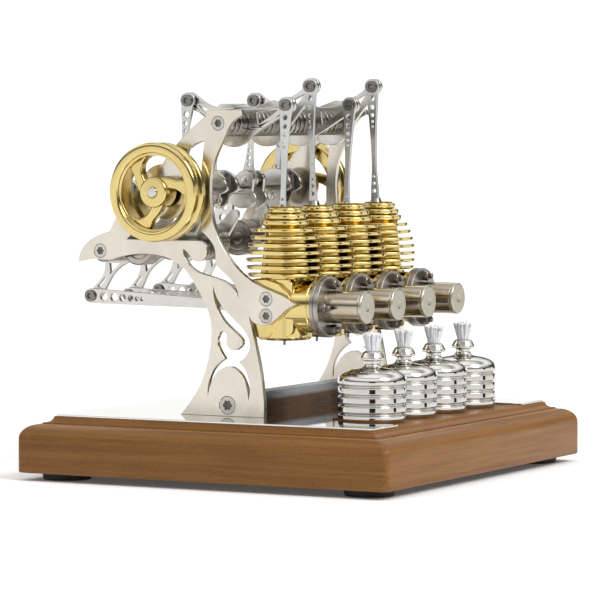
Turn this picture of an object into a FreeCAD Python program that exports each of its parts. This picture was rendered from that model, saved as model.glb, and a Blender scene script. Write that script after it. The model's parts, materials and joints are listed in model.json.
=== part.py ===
import FreeCAD, Part
import math
import os

V = FreeCAD.Vector

# Model stirling engine in millimetres.  +Z is up, +X points along the hot cylinders, and the
# crankshaft runs along Y.  The origin is at the middle of the underside of the rubber feet.

# ---- driving dimensions ------------------------------------------------------------------------
PITCH = 35.0                                  # spacing of the four cylinders along Y
ROWS = [(i - 1.5) * PITCH for i in range(4)]  # Y of each cylinder plane

BASE_X, BASE_Y = 210.0, 230.0                 # wooden base, outside
FEET_H = 4.0
BASE_TOP = 32.0                               # flat top of the wood
TOP_INSET = 14.0                              # moulding width on every side
PLATE_T = 1.0
DECK = BASE_TOP + PLATE_T                     # the mirror plate's upper face

FRAME_OUT, FRAME_T = 70.0, 3.0                # side frames: outer face |Y| and thickness
FRAME_IN = FRAME_OUT - FRAME_T

CRANK = (-43.1, 145.7)                        # crankshaft axis, (X, Z)
THROW = 4.8
THROW_ANGLE = math.radians(74.0)              # odd crank pins, from +X towards +Z
SHAFT_R = 2.6
FIT = 0.05                                    # radial running clearance

ROCKER = (-12.8, 180.5)                       # upper shaft: the power rockers
ROCKER_RIGHT, ROCKER_LEFT = (31.2, 9.1), (-25.2, 11.4)
ROCKER_SWING = math.radians(18.9)             # the even rockers stand this much further round

LEVER = (-81.9, 115.2)                        # lower shaft: the displacer levers
LEVER_LOW, LEVER_UP = (-15.3, -24.2), (8.7, 31.8)
LEVER_DRUM = (17.4, 2.0)
LEVER_SWING = math.radians(4.3)

BORE_X = 16.0                                 # axis of the vertical power cylinders
BLOCK_TOP = 102.5
FIN_STEP, FIN_LOW, FIN_T = 3.75, 104.3, 1.7   # fin spacing, middle of the lowest fin, thickness
FIN_RADII = [18.8, 19.4, 19.5, 19.3, 18.5, 17.2, 15.5]
DOME_RIBS = [(129.3, 131.7, 11.8), (132.4, 134.8, 10.4), (135.5, 137.9, 9.2)]
CYLINDER_TOP = 138.6
BORE_R = 7.2
ROD_L = 71.6                                  # power rod, eye to eye

HOT_Z = 88.65                                 # axis of the horizontal hot cylinders
HOT_END, HOT_R, HOT_FLANGE_R = 63.0, 8.2, 15.4
FLANGE_X = (37.6, 39.8, 42.4)                 # seat plate, then the hot cylinder's own flange
BOLT_CIRCLE = 11.5
BURNER_X, BURNER_R = 65.5, 17.3
WINDOW_R = 20.5                               # rounded bay in the plate for each burner

WHEEL_R, WHEEL_BORE, WHEEL_W = 25.1, 18.6, 11.6
SCREW_R = 3.6                                 # small countersunk head
LINK_T = 2.4                                  # thickness of every rocker, lever and bar
ROD_T = 1.8                                   # thickness of the power and connecting rods

# planes of the linkage, measured from each cylinder plane along +Y
ROD_Y, CENTRE_Y, LEVER_Y = -4.2, -1.7, 1.2


# ---- helpers -----------------------------------------------------------------------------------
def block(x0, x1, y0, y1, z0, z1):
    return Part.makeBox(x1 - x0, y1 - y0, z1 - z0, V(x0, y0, z0))


def rod_x(y, z, r, x0, x1):
    return Part.makeCylinder(r, x1 - x0, V(x0, y, z), V(1, 0, 0))


def rod_y(x, z, r, y0, y1):
    return Part.makeCylinder(r, y1 - y0, V(x, y0, z), V(0, 1, 0))


def rod_z(x, y, r, z0, z1):
    return Part.makeCylinder(r, z1 - z0, V(x, y, z0), V(0, 0, 1))


def cone_y(x, z, r0, r1, y0, y1):
    return Part.makeCone(r0, r1, y1 - y0, V(x, y0, z), V(0, 1, 0))


def fuse(shapes):
    return shapes[0].multiFuse(shapes[1:]).removeSplitter()


def add(p, q):
    return (p[0] + q[0], p[1] + q[1])


def turn(p, angle):
    c, s = math.cos(angle), math.sin(angle)
    return (p[0] * c - p[1] * s, p[0] * s + p[1] * c)


def stretch(points):
    """One edge in the XZ plane: a line through two points, or a smooth curve through more."""
    pts = [V(x, 0, z) for x, z in points]
    if len(pts) == 2:
        return Part.makeLine(pts[0], pts[1])
    curve = Part.BSplineCurve()
    curve.interpolate(pts)
    return curve.toShape()


def plate(stretches, y0, y1):
    """A flat plate in the XZ plane.  Each stretch starts where the last one ended."""
    face = Part.Face(Part.Wire([stretch(s) for s in stretches]))
    face.translate(V(0, y0, 0))
    return face.extrude(V(0, y1 - y0, 0))


def polygon(points, y0, y1):
    ring = points + points[:1]
    return plate([ring[i:i + 2] for i in range(len(points))], y0, y1)


def bar(p, q, rp, rq, y0, y1):
    """A flat link: two round ends joined by their common tangents."""
    length = math.hypot(q[0] - p[0], q[1] - p[1])
    along = math.atan2(q[1] - p[1], q[0] - p[0])
    side = math.acos((rp - rq) / length)
    corners = []
    for centre, r, sign in ((p, rp, 1), (q, rq, 1), (q, rq, -1), (p, rp, -1)):
        corners.append(add(centre, (r * math.cos(along + sign * side),
                                    r * math.sin(along + sign * side))))
    body = polygon(corners, y0, y1)
    return fuse([body, rod_y(p[0], p[1], rp, y0, y1), rod_y(q[0], q[1], rq, y0, y1)])


def shaped_rod(p, q, rp, rq, waist, y0, y1):
    """A flat rod with waisted sides: waist = [(fraction along p-q, half width), ...]."""
    length = math.hypot(q[0] - p[0], q[1] - p[1])
    ux, uz = (q[0] - p[0]) / length, (q[1] - p[1]) / length
    sides = []
    for sign in (1, -1):
        ends = [(0.55 * rp / length, 0.83 * rp)] + waist + [(1 - 0.55 * rq / length, 0.83 * rq)]
        sides.append([(p[0] + ux * t * length - uz * sign * w, p[1] + uz * t * length + ux * sign * w)
                      for t, w in ends])
    right = list(reversed(sides[1]))
    body = plate([sides[0], [sides[0][-1], right[0]], right, [right[-1], sides[0][0]]], y0, y1)
    return fuse([body, rod_y(p[0], p[1], rp, y0, y1), rod_y(q[0], q[1], rq, y0, y1)])


def between(p, q, t):
    return (p[0] + (q[0] - p[0]) * t, p[1] + (q[1] - p[1]) * t)


def pierce(shape, p, q, holes, y0, y1):
    """Round lightening holes at fractions t along the line p-q: holes = [(t, r), ...]."""
    cuts = []
    for t, r in holes:
        x, z = between(p, q, t)
        cuts.append(rod_y(x, z, r, y0 - 1, y1 + 1))
    return shape.cut(cuts)


def drill(shape, p, r, y0, y1):
    return shape.cut(rod_y(p[0], p[1], r, y0 - 1, y1 + 1))


def revolve_z(profile, x, y):
    """A turned part about a vertical axis, from (radius, z) pairs."""
    pts = [V(x + r, y, z) for r, z in profile]
    face = Part.Face(Part.makePolygon(pts + pts[:1]))
    return face.revolve(V(x, y, 0), V(0, 0, 1), 360)


def revolve_y(profile, x, z):
    """A turned part about an axis along Y, from (radius, y) pairs."""
    pts = [V(x + r, y, z) for r, y in profile]
    face = Part.Face(Part.makePolygon(pts + pts[:1]))
    return face.revolve(V(x, 0, z), V(0, 1, 0), 360)


os.makedirs("parts", exist_ok=True)


def export(name, shapes):
    shapes = shapes if isinstance(shapes, list) else [shapes]
    shape = shapes[0] if len(shapes) == 1 else Part.makeCompound(shapes)
    shape.exportStep("parts/%s.step" % name)


# ---- base --------------------------------------------------------------------------------------
def base_profile_offsets():
    """(inset, z) down one moulded side: a cove, a quirk, a round shoulder, then the flat side."""
    steps = [math.radians(15 * k) for k in range(7)]
    cove = [(TOP_INSET - 4.0 * (1 - math.cos(a)), BASE_TOP - 3.0 * math.sin(a)) for a in steps]
    shoulder = [(8.0 - 8.0 * math.sin(a), 21.0 + 7.2 * math.cos(a)) for a in steps]
    return cove + [(9.6, 29.0), (9.4, 28.5)] + shoulder + [(0.0, FEET_H)]


def wood_base():
    """The moulded block, built by intersecting its two straight mouldings."""
    halves = []
    for across, along in ((BASE_X / 2, BASE_Y / 2), (BASE_Y / 2, BASE_X / 2)):
        side = [(across - inset, z) for inset, z in base_profile_offsets()]
        ring = side + [(-x, z) for x, z in reversed(side)]
        pts = [V(x, 0, z) for x, z in ring]
        face = Part.Face(Part.makePolygon(pts + pts[:1]))
        face.translate(V(0, -along, 0))
        halves.append(face.extrude(V(0, 2 * along, 0)))
    halves[1].rotate(V(0, 0, 0), V(0, 0, 1), 90)
    body = halves[0].common(halves[1])
    trim = block(-BASE_X / 2, BASE_X / 2, -BASE_Y / 2, BASE_Y / 2, 0, 60)
    upright = [e for e in trim.Edges if abs(e.Vertexes[0].Z - e.Vertexes[-1].Z) > 50]
    return body.common(trim.makeFillet(4.0, upright))


PLATE_X = BASE_X / 2 - TOP_INSET - 1.0
PLATE_Y = BASE_Y / 2 - TOP_INSET - 1.0


def top_plate():
    sheet = block(-PLATE_X, PLATE_X, -PLATE_Y, PLATE_Y, BASE_TOP, DECK)
    cuts = [rod_z(BURNER_X, y, WINDOW_R, BASE_TOP - 1, DECK + 1) for y in ROWS]
    reach = ROWS[-1] + WINDOW_R
    cuts.append(block(BURNER_X, PLATE_X + 1, -reach, reach, BASE_TOP - 1, DECK + 1))
    return sheet.cut(cuts)


def rubber_feet():
    feet = []
    for sx in (-1, 1):
        for sy in (-1, 1):
            x, y = sx * (BASE_X / 2 - 19), sy * (BASE_Y / 2 - 19)
            feet.append(revolve_z([(0, 0), (12, 0), (13, FEET_H), (0, FEET_H)], x, y))
    return feet


# ---- side frames -------------------------------------------------------------------------------
HEAD_SCREW, BEAK_SCREW = ROCKER, LEVER
BLOCK_SCREWS = [(14.6, 92.7), (14.6, 84.2)]
FOOT_SCREW = (-7.5, 38.5)
SMALL_SCREWS = [HEAD_SCREW, BEAK_SCREW] + BLOCK_SCREWS
BEARING_R = 14.0


def around(centre, r, start, end, steps):
    """Points on a circle, from angle start to end in degrees."""
    points = []
    for k in range(steps + 1):
        a = math.radians(start + (end - start) * k / steps)
        points.append(add(centre, (r * math.cos(a), r * math.sin(a))))
    return points


def frame_plate(y0, y1):
    bearing_top = add(CRANK, (-2.0, 14.0))
    outline = [
        [(-20.0, 184.0), (-19.5, 187.2)],
        [(-19.5, 187.2), (0.5, 187.2)],
        [(0.5, 187.2), (1.2, 184.5)],
        [(1.2, 184.5), (-5.0, 180.5), (-10.5, 171.0), (-15.5, 160.0), (-17.2, 146.0),
         (-13.0, 123.5), (-6.5, 113.0), (2.0, 104.5), (12.5, 98.6), (25.0, 94.0), (31.3, 90.0)],
        [(31.3, 90.0), (22.5, 84.5), (14.5, 79.5), (9.0, 80.0), (5.0, 83.5)],
        [(5.0, 83.5), (7.5, 74.5), (11.5, 57.0), (13.5, DECK)],
        [(13.5, DECK), (-34.5, DECK)],
        [(-34.5, DECK), (-28.0, 40.5), (-21.5, 52.0), (-17.6, 66.0), (-17.3, 81.0),
         (-21.5, 91.5), (-31.0, 105.5)],
        [(-31.0, 105.5), (-41.5, 112.0), (-58.0, 114.0), (-77.0, 110.5)],
        [(-77.0, 110.5), (-86.0, 110.8), (-95.0, 109.2)],
        [(-95.0, 109.2), (-91.0, 118.0), (-85.0, 122.2), (-76.0, 125.3)],
        [(-76.0, 125.3), (-70.0, 136.0), (-59.0, 150.0), (-53.0, 157.0), bearing_top],
        [bearing_top, (-37.0, 169.5), (-29.0, 177.0), (-20.0, 184.0)],
    ]
    bearing = around(CRANK, BEARING_R, 50, -110, 6)
    lobe = around((-24.5, 116.0), 5.3, 90, -130, 8)
    window = [
        [(-20.5, 171.5), (-25.0, 170.3), (-30.0, 167.0)],
        [(-30.0, 167.0), bearing[0]],
        bearing,
        [bearing[-1], (-57.0, 128.5), (-66.0, 121.3)],
        [(-66.0, 121.3), lobe[0]],
        lobe,
        [lobe[-1], (-29.6, 114.2), (-33.0, 117.0)],
        [(-33.0, 117.0), (-30.5, 110.0), (-26.0, 106.3), (-16.5, 103.3), (-5.5, 99.0), (-1.2, 93.3)],
        [(-1.2, 93.3), (-5.5, 102.0), (-10.5, 106.2), (-13.8, 109.5), (-14.4, 115.7),
         (-18.4, 122.7), (-22.5, 126.0)],
        [(-22.5, 126.0), (-22.9, 148.0), (-20.5, 171.5)],
    ]
    scroll = [
        [(-15.6, 98.5), (-15.0, 92.5), (-10.5, 82.5), (-2.0, 75.0), (1.2, 71.5), (-2.0, 66.7)],
        [(-2.0, 66.7), (-5.8, 67.0), (-8.0, 69.5), (-8.0, 74.0), (-10.4, 76.0)],
        [(-10.4, 76.0), (-12.4, 73.9), (-13.0, 70.2), (-11.6, 66.2), (-8.7, 62.0)],
        [(-8.7, 62.0), (-12.7, 59.2), (-16.2, 55.0), (-18.5, 48.5), (-18.8, 43.3)],
        [(-18.8, 43.3), (-17.0, 49.5), (-12.7, 55.5), (-5.2, 58.2)],
        [(-5.2, 58.2), (0.0, 55.0), (3.4, 49.0), (4.5, 41.7)],
        [(4.5, 41.7), (5.4, 46.8), (4.5, 52.8), (2.2, 57.7), (-1.2, 60.6)],
        [(-1.2, 60.6), (3.4, 64.0), (5.4, 69.5), (3.4, 75.0), (-5.2, 83.2), (-11.5, 89.5),
         (-15.6, 98.5)],
    ]
    body = plate(outline, y0, y1)
    cuts = [plate(window, y0 - 1, y1 + 1), plate(scroll, y0 - 1, y1 + 1)]
    cuts.append(rod_y(CRANK[0], CRANK[1], SHAFT_R + FIT, y0 - 1, y1 + 1))
    return body.cut(cuts)


def countersunk(p, head_r, shank_r, side, length):
    """A countersunk screw with its flat head in the frame's outer face; side is -1 or +1."""
    y = side * FRAME_OUT
    inward = -side
    cone = Part.makeCone(head_r, shank_r, 2.2, V(p[0], y, p[1]), V(0, inward, 0))
    shank = Part.makeCylinder(shank_r, length, V(p[0], y, p[1]), V(0, inward, 0))
    return fuse([cone, shank])


def frame_screws(side):
    screws = [countersunk(p, SCREW_R, 1.9, side, 9.0) for p in SMALL_SCREWS]
    screws.append(countersunk(FOOT_SCREW, 4.6, 2.4, side, 10.0))
    return screws


def torx(p, r, side):
    """The star recess of a screw head."""
    y = side * FRAME_OUT
    lobes = [rod_y(p[0], p[1], 0.62 * r, y - 1.3, y + 1.3)]
    for k in range(6):
        c = add(p, turn((0.66 * r, 0), math.radians(60 * k)))
        lobes.append(rod_y(c[0], c[1], 0.17 * r, y - 1.3, y + 1.3))
    return fuse(lobes)


def build_frames():
    all_screws = []
    for name, side in (("frame_near", -1), ("frame_far", 1)):
        y0 = -FRAME_OUT if side < 0 else FRAME_IN
        screws = frame_screws(side)
        export(name, frame_plate(y0, y0 + FRAME_T).cut(screws))
        for p, screw in zip(SMALL_SCREWS + [FOOT_SCREW], screws):
            r = 1.7 if p is not FOOT_SCREW else 2.2
            all_screws.append(screw.cut(torx(p, r, side)))
    export("frame_screws", all_screws)
    foot = block(-12.5, -2.5, -FRAME_IN, FRAME_IN, DECK, 43.5)
    foot = foot.cut([rod_y(FOOT_SCREW[0], FOOT_SCREW[1], 2.4, s * 65 - 6, s * 65 + 6) for s in (-1, 1)])
    export("tie_bar", foot)


# ---- the two cross shafts and their spacers ----------------------------------------------------
def cross_shaft(axis):
    shaft = rod_y(axis[0], axis[1], 3.0, -FRAME_IN, FRAME_IN)
    holes = [rod_y(axis[0], axis[1], 1.9, s * 64 - 4, s * 64 + 4) for s in (-1, 1)]
    return shaft.cut(holes)


def spacer(axis, y0, y1):
    """A ringed drum on a cross shaft, with a shallow groove every 2.4 mm."""
    r, depth = (6.8 if axis is ROCKER else 6.0), 0.5
    drum = rod_y(axis[0], axis[1], r, y0, y1).cut(rod_y(axis[0], axis[1], 3.0, y0 - 1, y1 + 1))
    grooves = []
    count = int((y1 - y0) / 2.4)
    start = y0 + ((y1 - y0) - (count - 1) * 2.4) / 2
    for k in range(count):
        y = start + 2.4 * k
        ring = rod_y(axis[0], axis[1], r + 1, y - 0.4, y + 0.4)
        grooves.append(ring.cut(rod_y(axis[0], axis[1], r - depth, y - 1, y + 1)))
    return drum.cut(grooves)


def spacers():
    drums = []
    for axis, near, far in ((ROCKER, CENTRE_Y, CENTRE_Y + LINK_T), (LEVER, LEVER_Y, LEVER_Y + LINK_T)):
        edges = [-FRAME_IN]
        for y in ROWS:
            edges += [y + near - 0.1, y + far + 0.1]
        edges.append(FRAME_IN)
        for k in range(0, len(edges), 2):
            drums.append(spacer(axis, edges[k], edges[k + 1]))
    return drums


# ---- cylinder block, power cylinders and hot cylinders -----------------------------------------
CHEEK = [(-2.0, 100.5), (6.0, 102.0), (13.0, 102.4), (20.0, 100.3), (24.6, 96.4), (28.8, 90.0),
         (23.0, 84.2), (18.9, 80.8), (17.8, 77.0), (14.6, 73.2), (8.6, 73.0), (2.0, 76.5), (-2.0, 80.0)]


def cylinder_block():
    """A bar with a round column under each cylinder, and a shaped cheek behind each side frame."""
    bar_profile = [
        [(-1.0, 77.0), (-1.0, 98.0)],
        [(-1.0, 98.0), (1.0, 100.6), (5.0, BLOCK_TOP)],
        [(5.0, BLOCK_TOP), (25.0, BLOCK_TOP)],
        [(25.0, BLOCK_TOP), (27.0, 99.0)],
        [(27.0, 99.0), (27.0, 78.0)],
        [(27.0, 78.0), (25.0, 74.5), (21.0, 73.0)],
        [(21.0, 73.0), (4.0, 73.0)],
        [(4.0, 73.0), (0.5, 74.2), (-1.0, 77.0)],
    ]
    pieces = [plate(bar_profile, -64.5, 64.5)]
    column = [(0, 71.6), (12.6, 71.6), (14.0, 73.0), (14.0, 97.5), (12.4, 100.0), (12.0, BLOCK_TOP),
              (0, BLOCK_TOP)]
    for y in ROWS:
        pieces.append(revolve_z(column, BORE_X, y))
        pieces.append(rod_x(y, HOT_Z, 13.4, 20.0, FLANGE_X[0]))
    for side in (-1, 1):
        y0 = -FRAME_IN if side < 0 else 64.0
        pieces.append(polygon(CHEEK, y0, y0 + 3.0))
    body = fuse(pieces)
    cuts = []
    for y in ROWS:
        cuts.append(rod_x(y, HOT_Z, 7.0, 2.0, 45.0))
        cuts.append(rod_x(y, HOT_Z, 1.6, -5.0, 5.0))
        cuts.append(rod_z(BORE_X, y, 4.0, HOT_Z, 110.0))
    for side in (-1, 1):
        for x, z in BLOCK_SCREWS:
            cuts.append(rod_y(x, z, 1.9, side * 63 - 4, side * 63 + 4))
    return body.cut(cuts)


def power_cylinder(y):
    """A tapering barrel with thin round fins, drawn in above them to a ribbed dome."""
    side = [(12.2, BLOCK_TOP)]
    for k, r in enumerate(FIN_RADII):
        z = FIN_LOW + FIN_STEP * k
        root = 12.2 - 0.42 * k
        half = FIN_T / 2
        side += [(root, z - half - 0.15), (r - 0.5, z - half), (r, z - half + 0.5),
                 (r, z + half - 0.5), (r - 0.5, z + half), (root, z + half + 0.15)]
    for z0, z1, r in DOME_RIBS:
        side += [(r - 1.7, z0 - 0.3), (r - 0.4, z0), (r, z0 + 0.5), (r, z1 - 0.5), (r - 0.4, z1),
                 (r - 1.7, z1 + 0.3)]
    side += [(7.9, CYLINDER_TOP), (BORE_R, CYLINDER_TOP), (BORE_R, BLOCK_TOP)]
    body = revolve_z(side, BORE_X, y)
    return body.common(block(BORE_X - 30, BORE_X + 30, y - 17.3, y + 17.3, 90, 150))


BOLT_PLACES = ((BOLT_CIRCLE, 0), (-BOLT_CIRCLE, 0), (0, BOLT_CIRCLE), (0, -BOLT_CIRCLE))


def hot_cylinder(y):
    """A closed tube with a flange, on a slightly larger seat plate."""
    seat, joint, front = FLANGE_X
    tube = fuse([rod_x(y, HOT_Z, HOT_FLANGE_R, seat, joint - 0.3),
                 rod_x(y, HOT_Z, HOT_FLANGE_R - 0.5, seat, joint + 0.3),
                 rod_x(y, HOT_Z, HOT_FLANGE_R, joint, front),
                 rod_x(y, HOT_Z, HOT_R, front - 1, HOT_END)])
    tube = tube.makeFillet(0.6, [e for e in tube.Edges if abs(e.BoundBox.XMin - HOT_END) < 0.01])
    cuts = [rod_x(y, HOT_Z, 7.2, 30.0, HOT_END - 1.5)]
    cuts += [rod_x(y + dy, HOT_Z + dz, 1.5, 30.0, 45.0) for dy, dz in BOLT_PLACES]
    return tube.cut(cuts)


def hexagon_x(y, z, r, x0, x1):
    pts = [V(x0, y + r * math.cos(math.radians(60 * k)), z + r * math.sin(math.radians(60 * k)))
           for k in range(7)]
    return Part.Face(Part.makePolygon(pts)).extrude(V(x1 - x0, 0, 0))


def cylinder_bolts():
    bolts = []
    for y in ROWS:
        for dy, dz in BOLT_PLACES:
            bolts.append(fuse([hexagon_x(y + dy, HOT_Z + dz, 2.7, FLANGE_X[2], FLANGE_X[2] + 3.4),
                               rod_x(y + dy, HOT_Z + dz, 1.5, FLANGE_X[0], FLANGE_X[2] + 5.4)]))
        bolts.append(rod_z(18.0, y - 4.0, 0.7, 69.0, 71.6))
    return bolts


# ---- spirit burners ----------------------------------------------------------------------------
def burner(y):
    """A ribbed barrel with a domed shoulder, a neck and a flanged collar, bored for its wick."""
    r = BURNER_R
    side = [(r - 1.2, BASE_TOP), (r - 0.2, BASE_TOP + 1.6)]
    rib = 4.6
    for k in range(4):
        z = DECK + 2.6 + rib * k
        side += [(r - 0.2, z), (r - 1.1, z + 0.5), (r - 1.1, z + 1.1), (r, z + 1.6)]
    shoulder = [(r, 53.0), (r - 0.7, 55.0), (r - 3.0, 56.8), (r - 7.0, 58.2), (4.9, 59.0)]
    neck = [(3.9, 60.5), (3.9, 62.4), (6.1, 62.9), (6.1, 64.0), (4.6, 66.8), (3.2, 67.4)]
    bore = [(3.2, 40.0), (0, 40.0), (0, BASE_TOP)]
    return revolve_z(side + shoulder + neck + bore, BURNER_X, y)


def wick(y):
    return revolve_z([(0, 42.0), (3.0, 42.0), (3.0, 67.6), (5.6, 74.5), (4.4, 77.0), (0, 77.6)],
                     BURNER_X, y)


# ---- crankshaft and flywheels ------------------------------------------------------------------
def crank_pin(i):
    """Offset of crank pin i from the shaft; neighbours stand half a turn apart."""
    return turn((THROW, 0), THROW_ANGLE + (0 if i % 2 == 0 else math.pi))


def web(i, y0, y1):
    pin = crank_pin(i)
    away = math.atan2(-pin[1], -pin[0])
    big = rod_y(CRANK[0], CRANK[1], 10.4, y0, y1)
    half = add(CRANK, (9.0 * math.cos(away), 9.0 * math.sin(away)))
    lobe = big.common(rod_y(half[0], half[1], 11.5, y0, y1))
    return fuse([lobe, bar(CRANK, add(CRANK, pin), 6.0, 5.2, y0, y1)])


def crankshaft():
    pieces = []
    ends = [-84.4]
    for i, y in enumerate(ROWS):
        pin = add(CRANK, crank_pin(i))
        pieces.append(web(i, y - 7.5, y - 4.9))
        pieces.append(web(i, y + 4.4, y + 7.0))
        pieces.append(rod_y(pin[0], pin[1], 2.3, y - 7.9, y + 7.4))
        ends += [y - 7.5, y + 7.0]
    ends.append(84.4)
    for k in range(0, len(ends), 2):
        pieces.append(rod_y(CRANK[0], CRANK[1], SHAFT_R, ends[k] - 0.5 * (k > 0), ends[k + 1] + 0.5))
    return fuse(pieces)


def polar(r, degrees):
    a = math.radians(degrees)
    return (r * math.cos(a), r * math.sin(a))


def spoke(angle, y0, y1):
    """One sickle-shaped spoke: wide where it leaves the hub and where it runs into the rim."""
    ahead = [polar(6.0, 88), polar(9.6, 53), polar(13.8, 30), polar(19.0, 18)]
    behind = [polar(19.0, -13), polar(15.8, -1), polar(12.0, 9), polar(6.2, 24)]
    ring = [ahead, [ahead[-1], behind[0]], behind, [behind[-1], ahead[0]]]
    moved = [[add(CRANK, turn(p, angle)) for p in part] for part in ring]
    return plate(moved, y0, y1)


def flywheel(side):
    """A rounded, grooved rim with a stepped bore, three curved spokes and a hub."""
    y_in, y_out = 84.2 - WHEEL_W, 84.2
    face = [(WHEEL_R - 2.4 * t * t, y_out - 1.6 * (1 - t) ** 2) for t in (0, 0.25, 0.5, 0.75, 1)]
    inner = [(WHEEL_R - 4.0, y_out), (WHEEL_R - 5.0, y_out - 0.5), (WHEEL_R - 5.3, y_out - 1.4),
             (WHEEL_BORE + 0.2, y_out - 1.6), (WHEEL_BORE, y_out - 2.2)]
    rim = [(WHEEL_BORE, y_in), (WHEEL_R - 0.8, y_in), (WHEEL_R, y_in + 0.8), (WHEEL_R, y_in + 3.2),
           (WHEEL_R - 2.6, y_in + 4.4), (WHEEL_R - 2.6, y_out - 5.4), (WHEEL_R, y_out - 4.2)]
    pieces = [revolve_y(rim + face + inner, CRANK[0], CRANK[1])]
    hub = [(0, y_in), (7.9, y_in), (7.9, y_out - 1.6), (7.2, y_out - 0.7), (0, y_out - 0.7)]
    pieces.append(revolve_y(hub, CRANK[0], CRANK[1]))
    for k in range(3):
        pieces.append(spoke(math.radians(120 * k - 2), y_in + 3.4, y_out - 2.6))
    wheel = fuse(pieces).cut(rod_y(CRANK[0], CRANK[1], SHAFT_R, 60, 90))
    if side < 0:
        wheel = wheel.mirror(V(0, 0, 0), V(0, 1, 0))
    return wheel


# ---- linkage -----------------------------------------------------------------------------------
def swing(i, angle):
    return 0.0 if i % 2 == 0 else angle


def rocker_points(i):
    a = swing(i, ROCKER_SWING)
    return add(ROCKER, turn(ROCKER_RIGHT, a)), add(ROCKER, turn(ROCKER_LEFT, a))


def placed(axis, points, angle):
    return [add(axis, turn(p, angle)) for p in points]


def loop_plate(edges, axis, angle, y0, y1):
    """A plate from curved edges given in local coordinates; straight lines close the gaps."""
    moved = [placed(axis, edge, angle) for edge in edges]
    ring = []
    for k, edge in enumerate(moved):
        ring.append(edge)
        after = moved[(k + 1) % len(moved)][0]
        if math.hypot(after[0] - edge[-1][0], after[1] - edge[-1][1]) > 1e-6:
            ring.append([edge[-1], after])
    return plate(ring, y0, y1)


ROCKER_ARMS = [
    [[(5.0, 9.9), (13.1, 8.0), (20.8, 8.3), (26.6, 10.2), (29.6, 12.9)],
     [(31.0, 5.0), (24.6, 1.5), (18.4, -2.2), (9.6, -7.2)]],
    [[(-27.0, 7.7), (-20.5, 5.4), (-15.5, 2.0), (-10.0, -5.6)],
     [(-5.0, 9.8), (-11.4, 8.4), (-16.2, 10.3), (-20.5, 13.2), (-23.6, 15.2)]],
]
ROCKER_OPENINGS = [[(13.4, 5.4), (25.6, 6.6), (14.2, -1.0)], [(-20.2, 9.2), (-12.9, 6.2), (-13.3, 1.6)]]
ROCKER_HUB = 12.2


def rocker(i, y):
    """A round hub, cut flat across its top, with two open arms."""
    right, left = rocker_points(i)
    y0 = y + CENTRE_Y
    y1 = y0 + LINK_T
    a = swing(i, ROCKER_SWING)
    hub = rod_y(ROCKER[0], ROCKER[1], ROCKER_HUB, y0, y1)
    crown = placed(ROCKER, [(-15, 9.8), (15, 9.8), (15, 20), (-15, 20)], a)
    pieces = [hub.cut(polygon(crown, y0 - 1, y1 + 1))]
    pieces += [rod_y(p[0], p[1], 4.2, y0, y1) for p in (right, left)]
    pieces += [loop_plate(edges, ROCKER, a, y0, y1) for edges in ROCKER_ARMS]
    cuts = [polygon(placed(ROCKER, opening, a), y0 - 1, y1 + 1) for opening in ROCKER_OPENINGS]
    body = drill(fuse(pieces).cut(cuts), ROCKER, 3.0 + FIT, y0, y1)
    body = drill(body, right, 1.5, y0, y1)
    return drill(body, left, 1.5, y0, y1)


def pivot_screw(p, y_head, y_end, shank_r=1.5, head_r=3.0):
    """A pan-head pivot screw lying along Y, head towards -Y, with a hexagon socket."""
    screw = fuse([rod_y(p[0], p[1], head_r, y_head, y_head + 1.4),
                  rod_y(p[0], p[1], shank_r, y_head, y_end)])
    pts = [V(p[0] + 1.5 * math.cos(math.radians(60 * k)), y_head - 1,
             p[1] + 1.5 * math.sin(math.radians(60 * k))) for k in range(7)]
    return screw.cut(Part.Face(Part.makePolygon(pts)).extrude(V(0, 1.9, 0)))


def power_rod(i, y):
    """From a rocker's right end down to the piston's gudgeon pin."""
    top = rocker_points(i)[0]
    foot = (BORE_X, top[1] - ROD_L)
    y0 = y + ROD_Y
    y1 = y0 + ROD_T
    waist = [(0.10, 2.9), (0.19, 2.4), (0.30, 1.8), (0.45, 1.35), (0.62, 1.3), (0.74, 1.9), (0.88, 2.2)]
    rod = shaped_rod(top, foot, 4.2, 2.4, waist, y0, y1)
    holes = [(0.085, 1.4), (0.15, 1.2), (0.208, 1.0), (0.255, 0.75), (0.293, 0.6),
             (0.66, 0.6), (0.71, 0.8), (0.765, 1.0)]
    rod = pierce(rod, top, foot, holes, y0, y1)
    rod = drill(rod, top, 1.5, y0, y1)
    screw = pivot_screw(top, y0 - 1.4, y + CENTRE_Y + LINK_T + 1.8)
    return [rod.cut(screw), screw]


def piston(i, y):
    """A piston whose slotted, tapering yoke rises round the rod's lower end."""
    foot_z = rocker_points(i)[0][1] - ROD_L
    skirt = BORE_R - 0.05
    crown = revolve_z([(0, foot_z - 10.0), (skirt, foot_z - 10.0), (skirt, foot_z + 3.4),
                       (0, foot_z + 3.4)], BORE_X, y)
    yoke = revolve_z([(0, foot_z), (3.7, foot_z), (3.7, foot_z + 8.0), (3.2, foot_z + 10.5),
                      (2.4, foot_z + 13.2), (0, foot_z + 13.2)], BORE_X, y + ROD_Y + ROD_T / 2)
    body = fuse([crown, yoke])
    slot = block(BORE_X - 4.4, BORE_X + 4.4, y + ROD_Y - 0.5, y + ROD_Y + ROD_T + 0.5,
                 foot_z - 4.2, foot_z + 20.0)
    return body.cut(slot)


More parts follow.
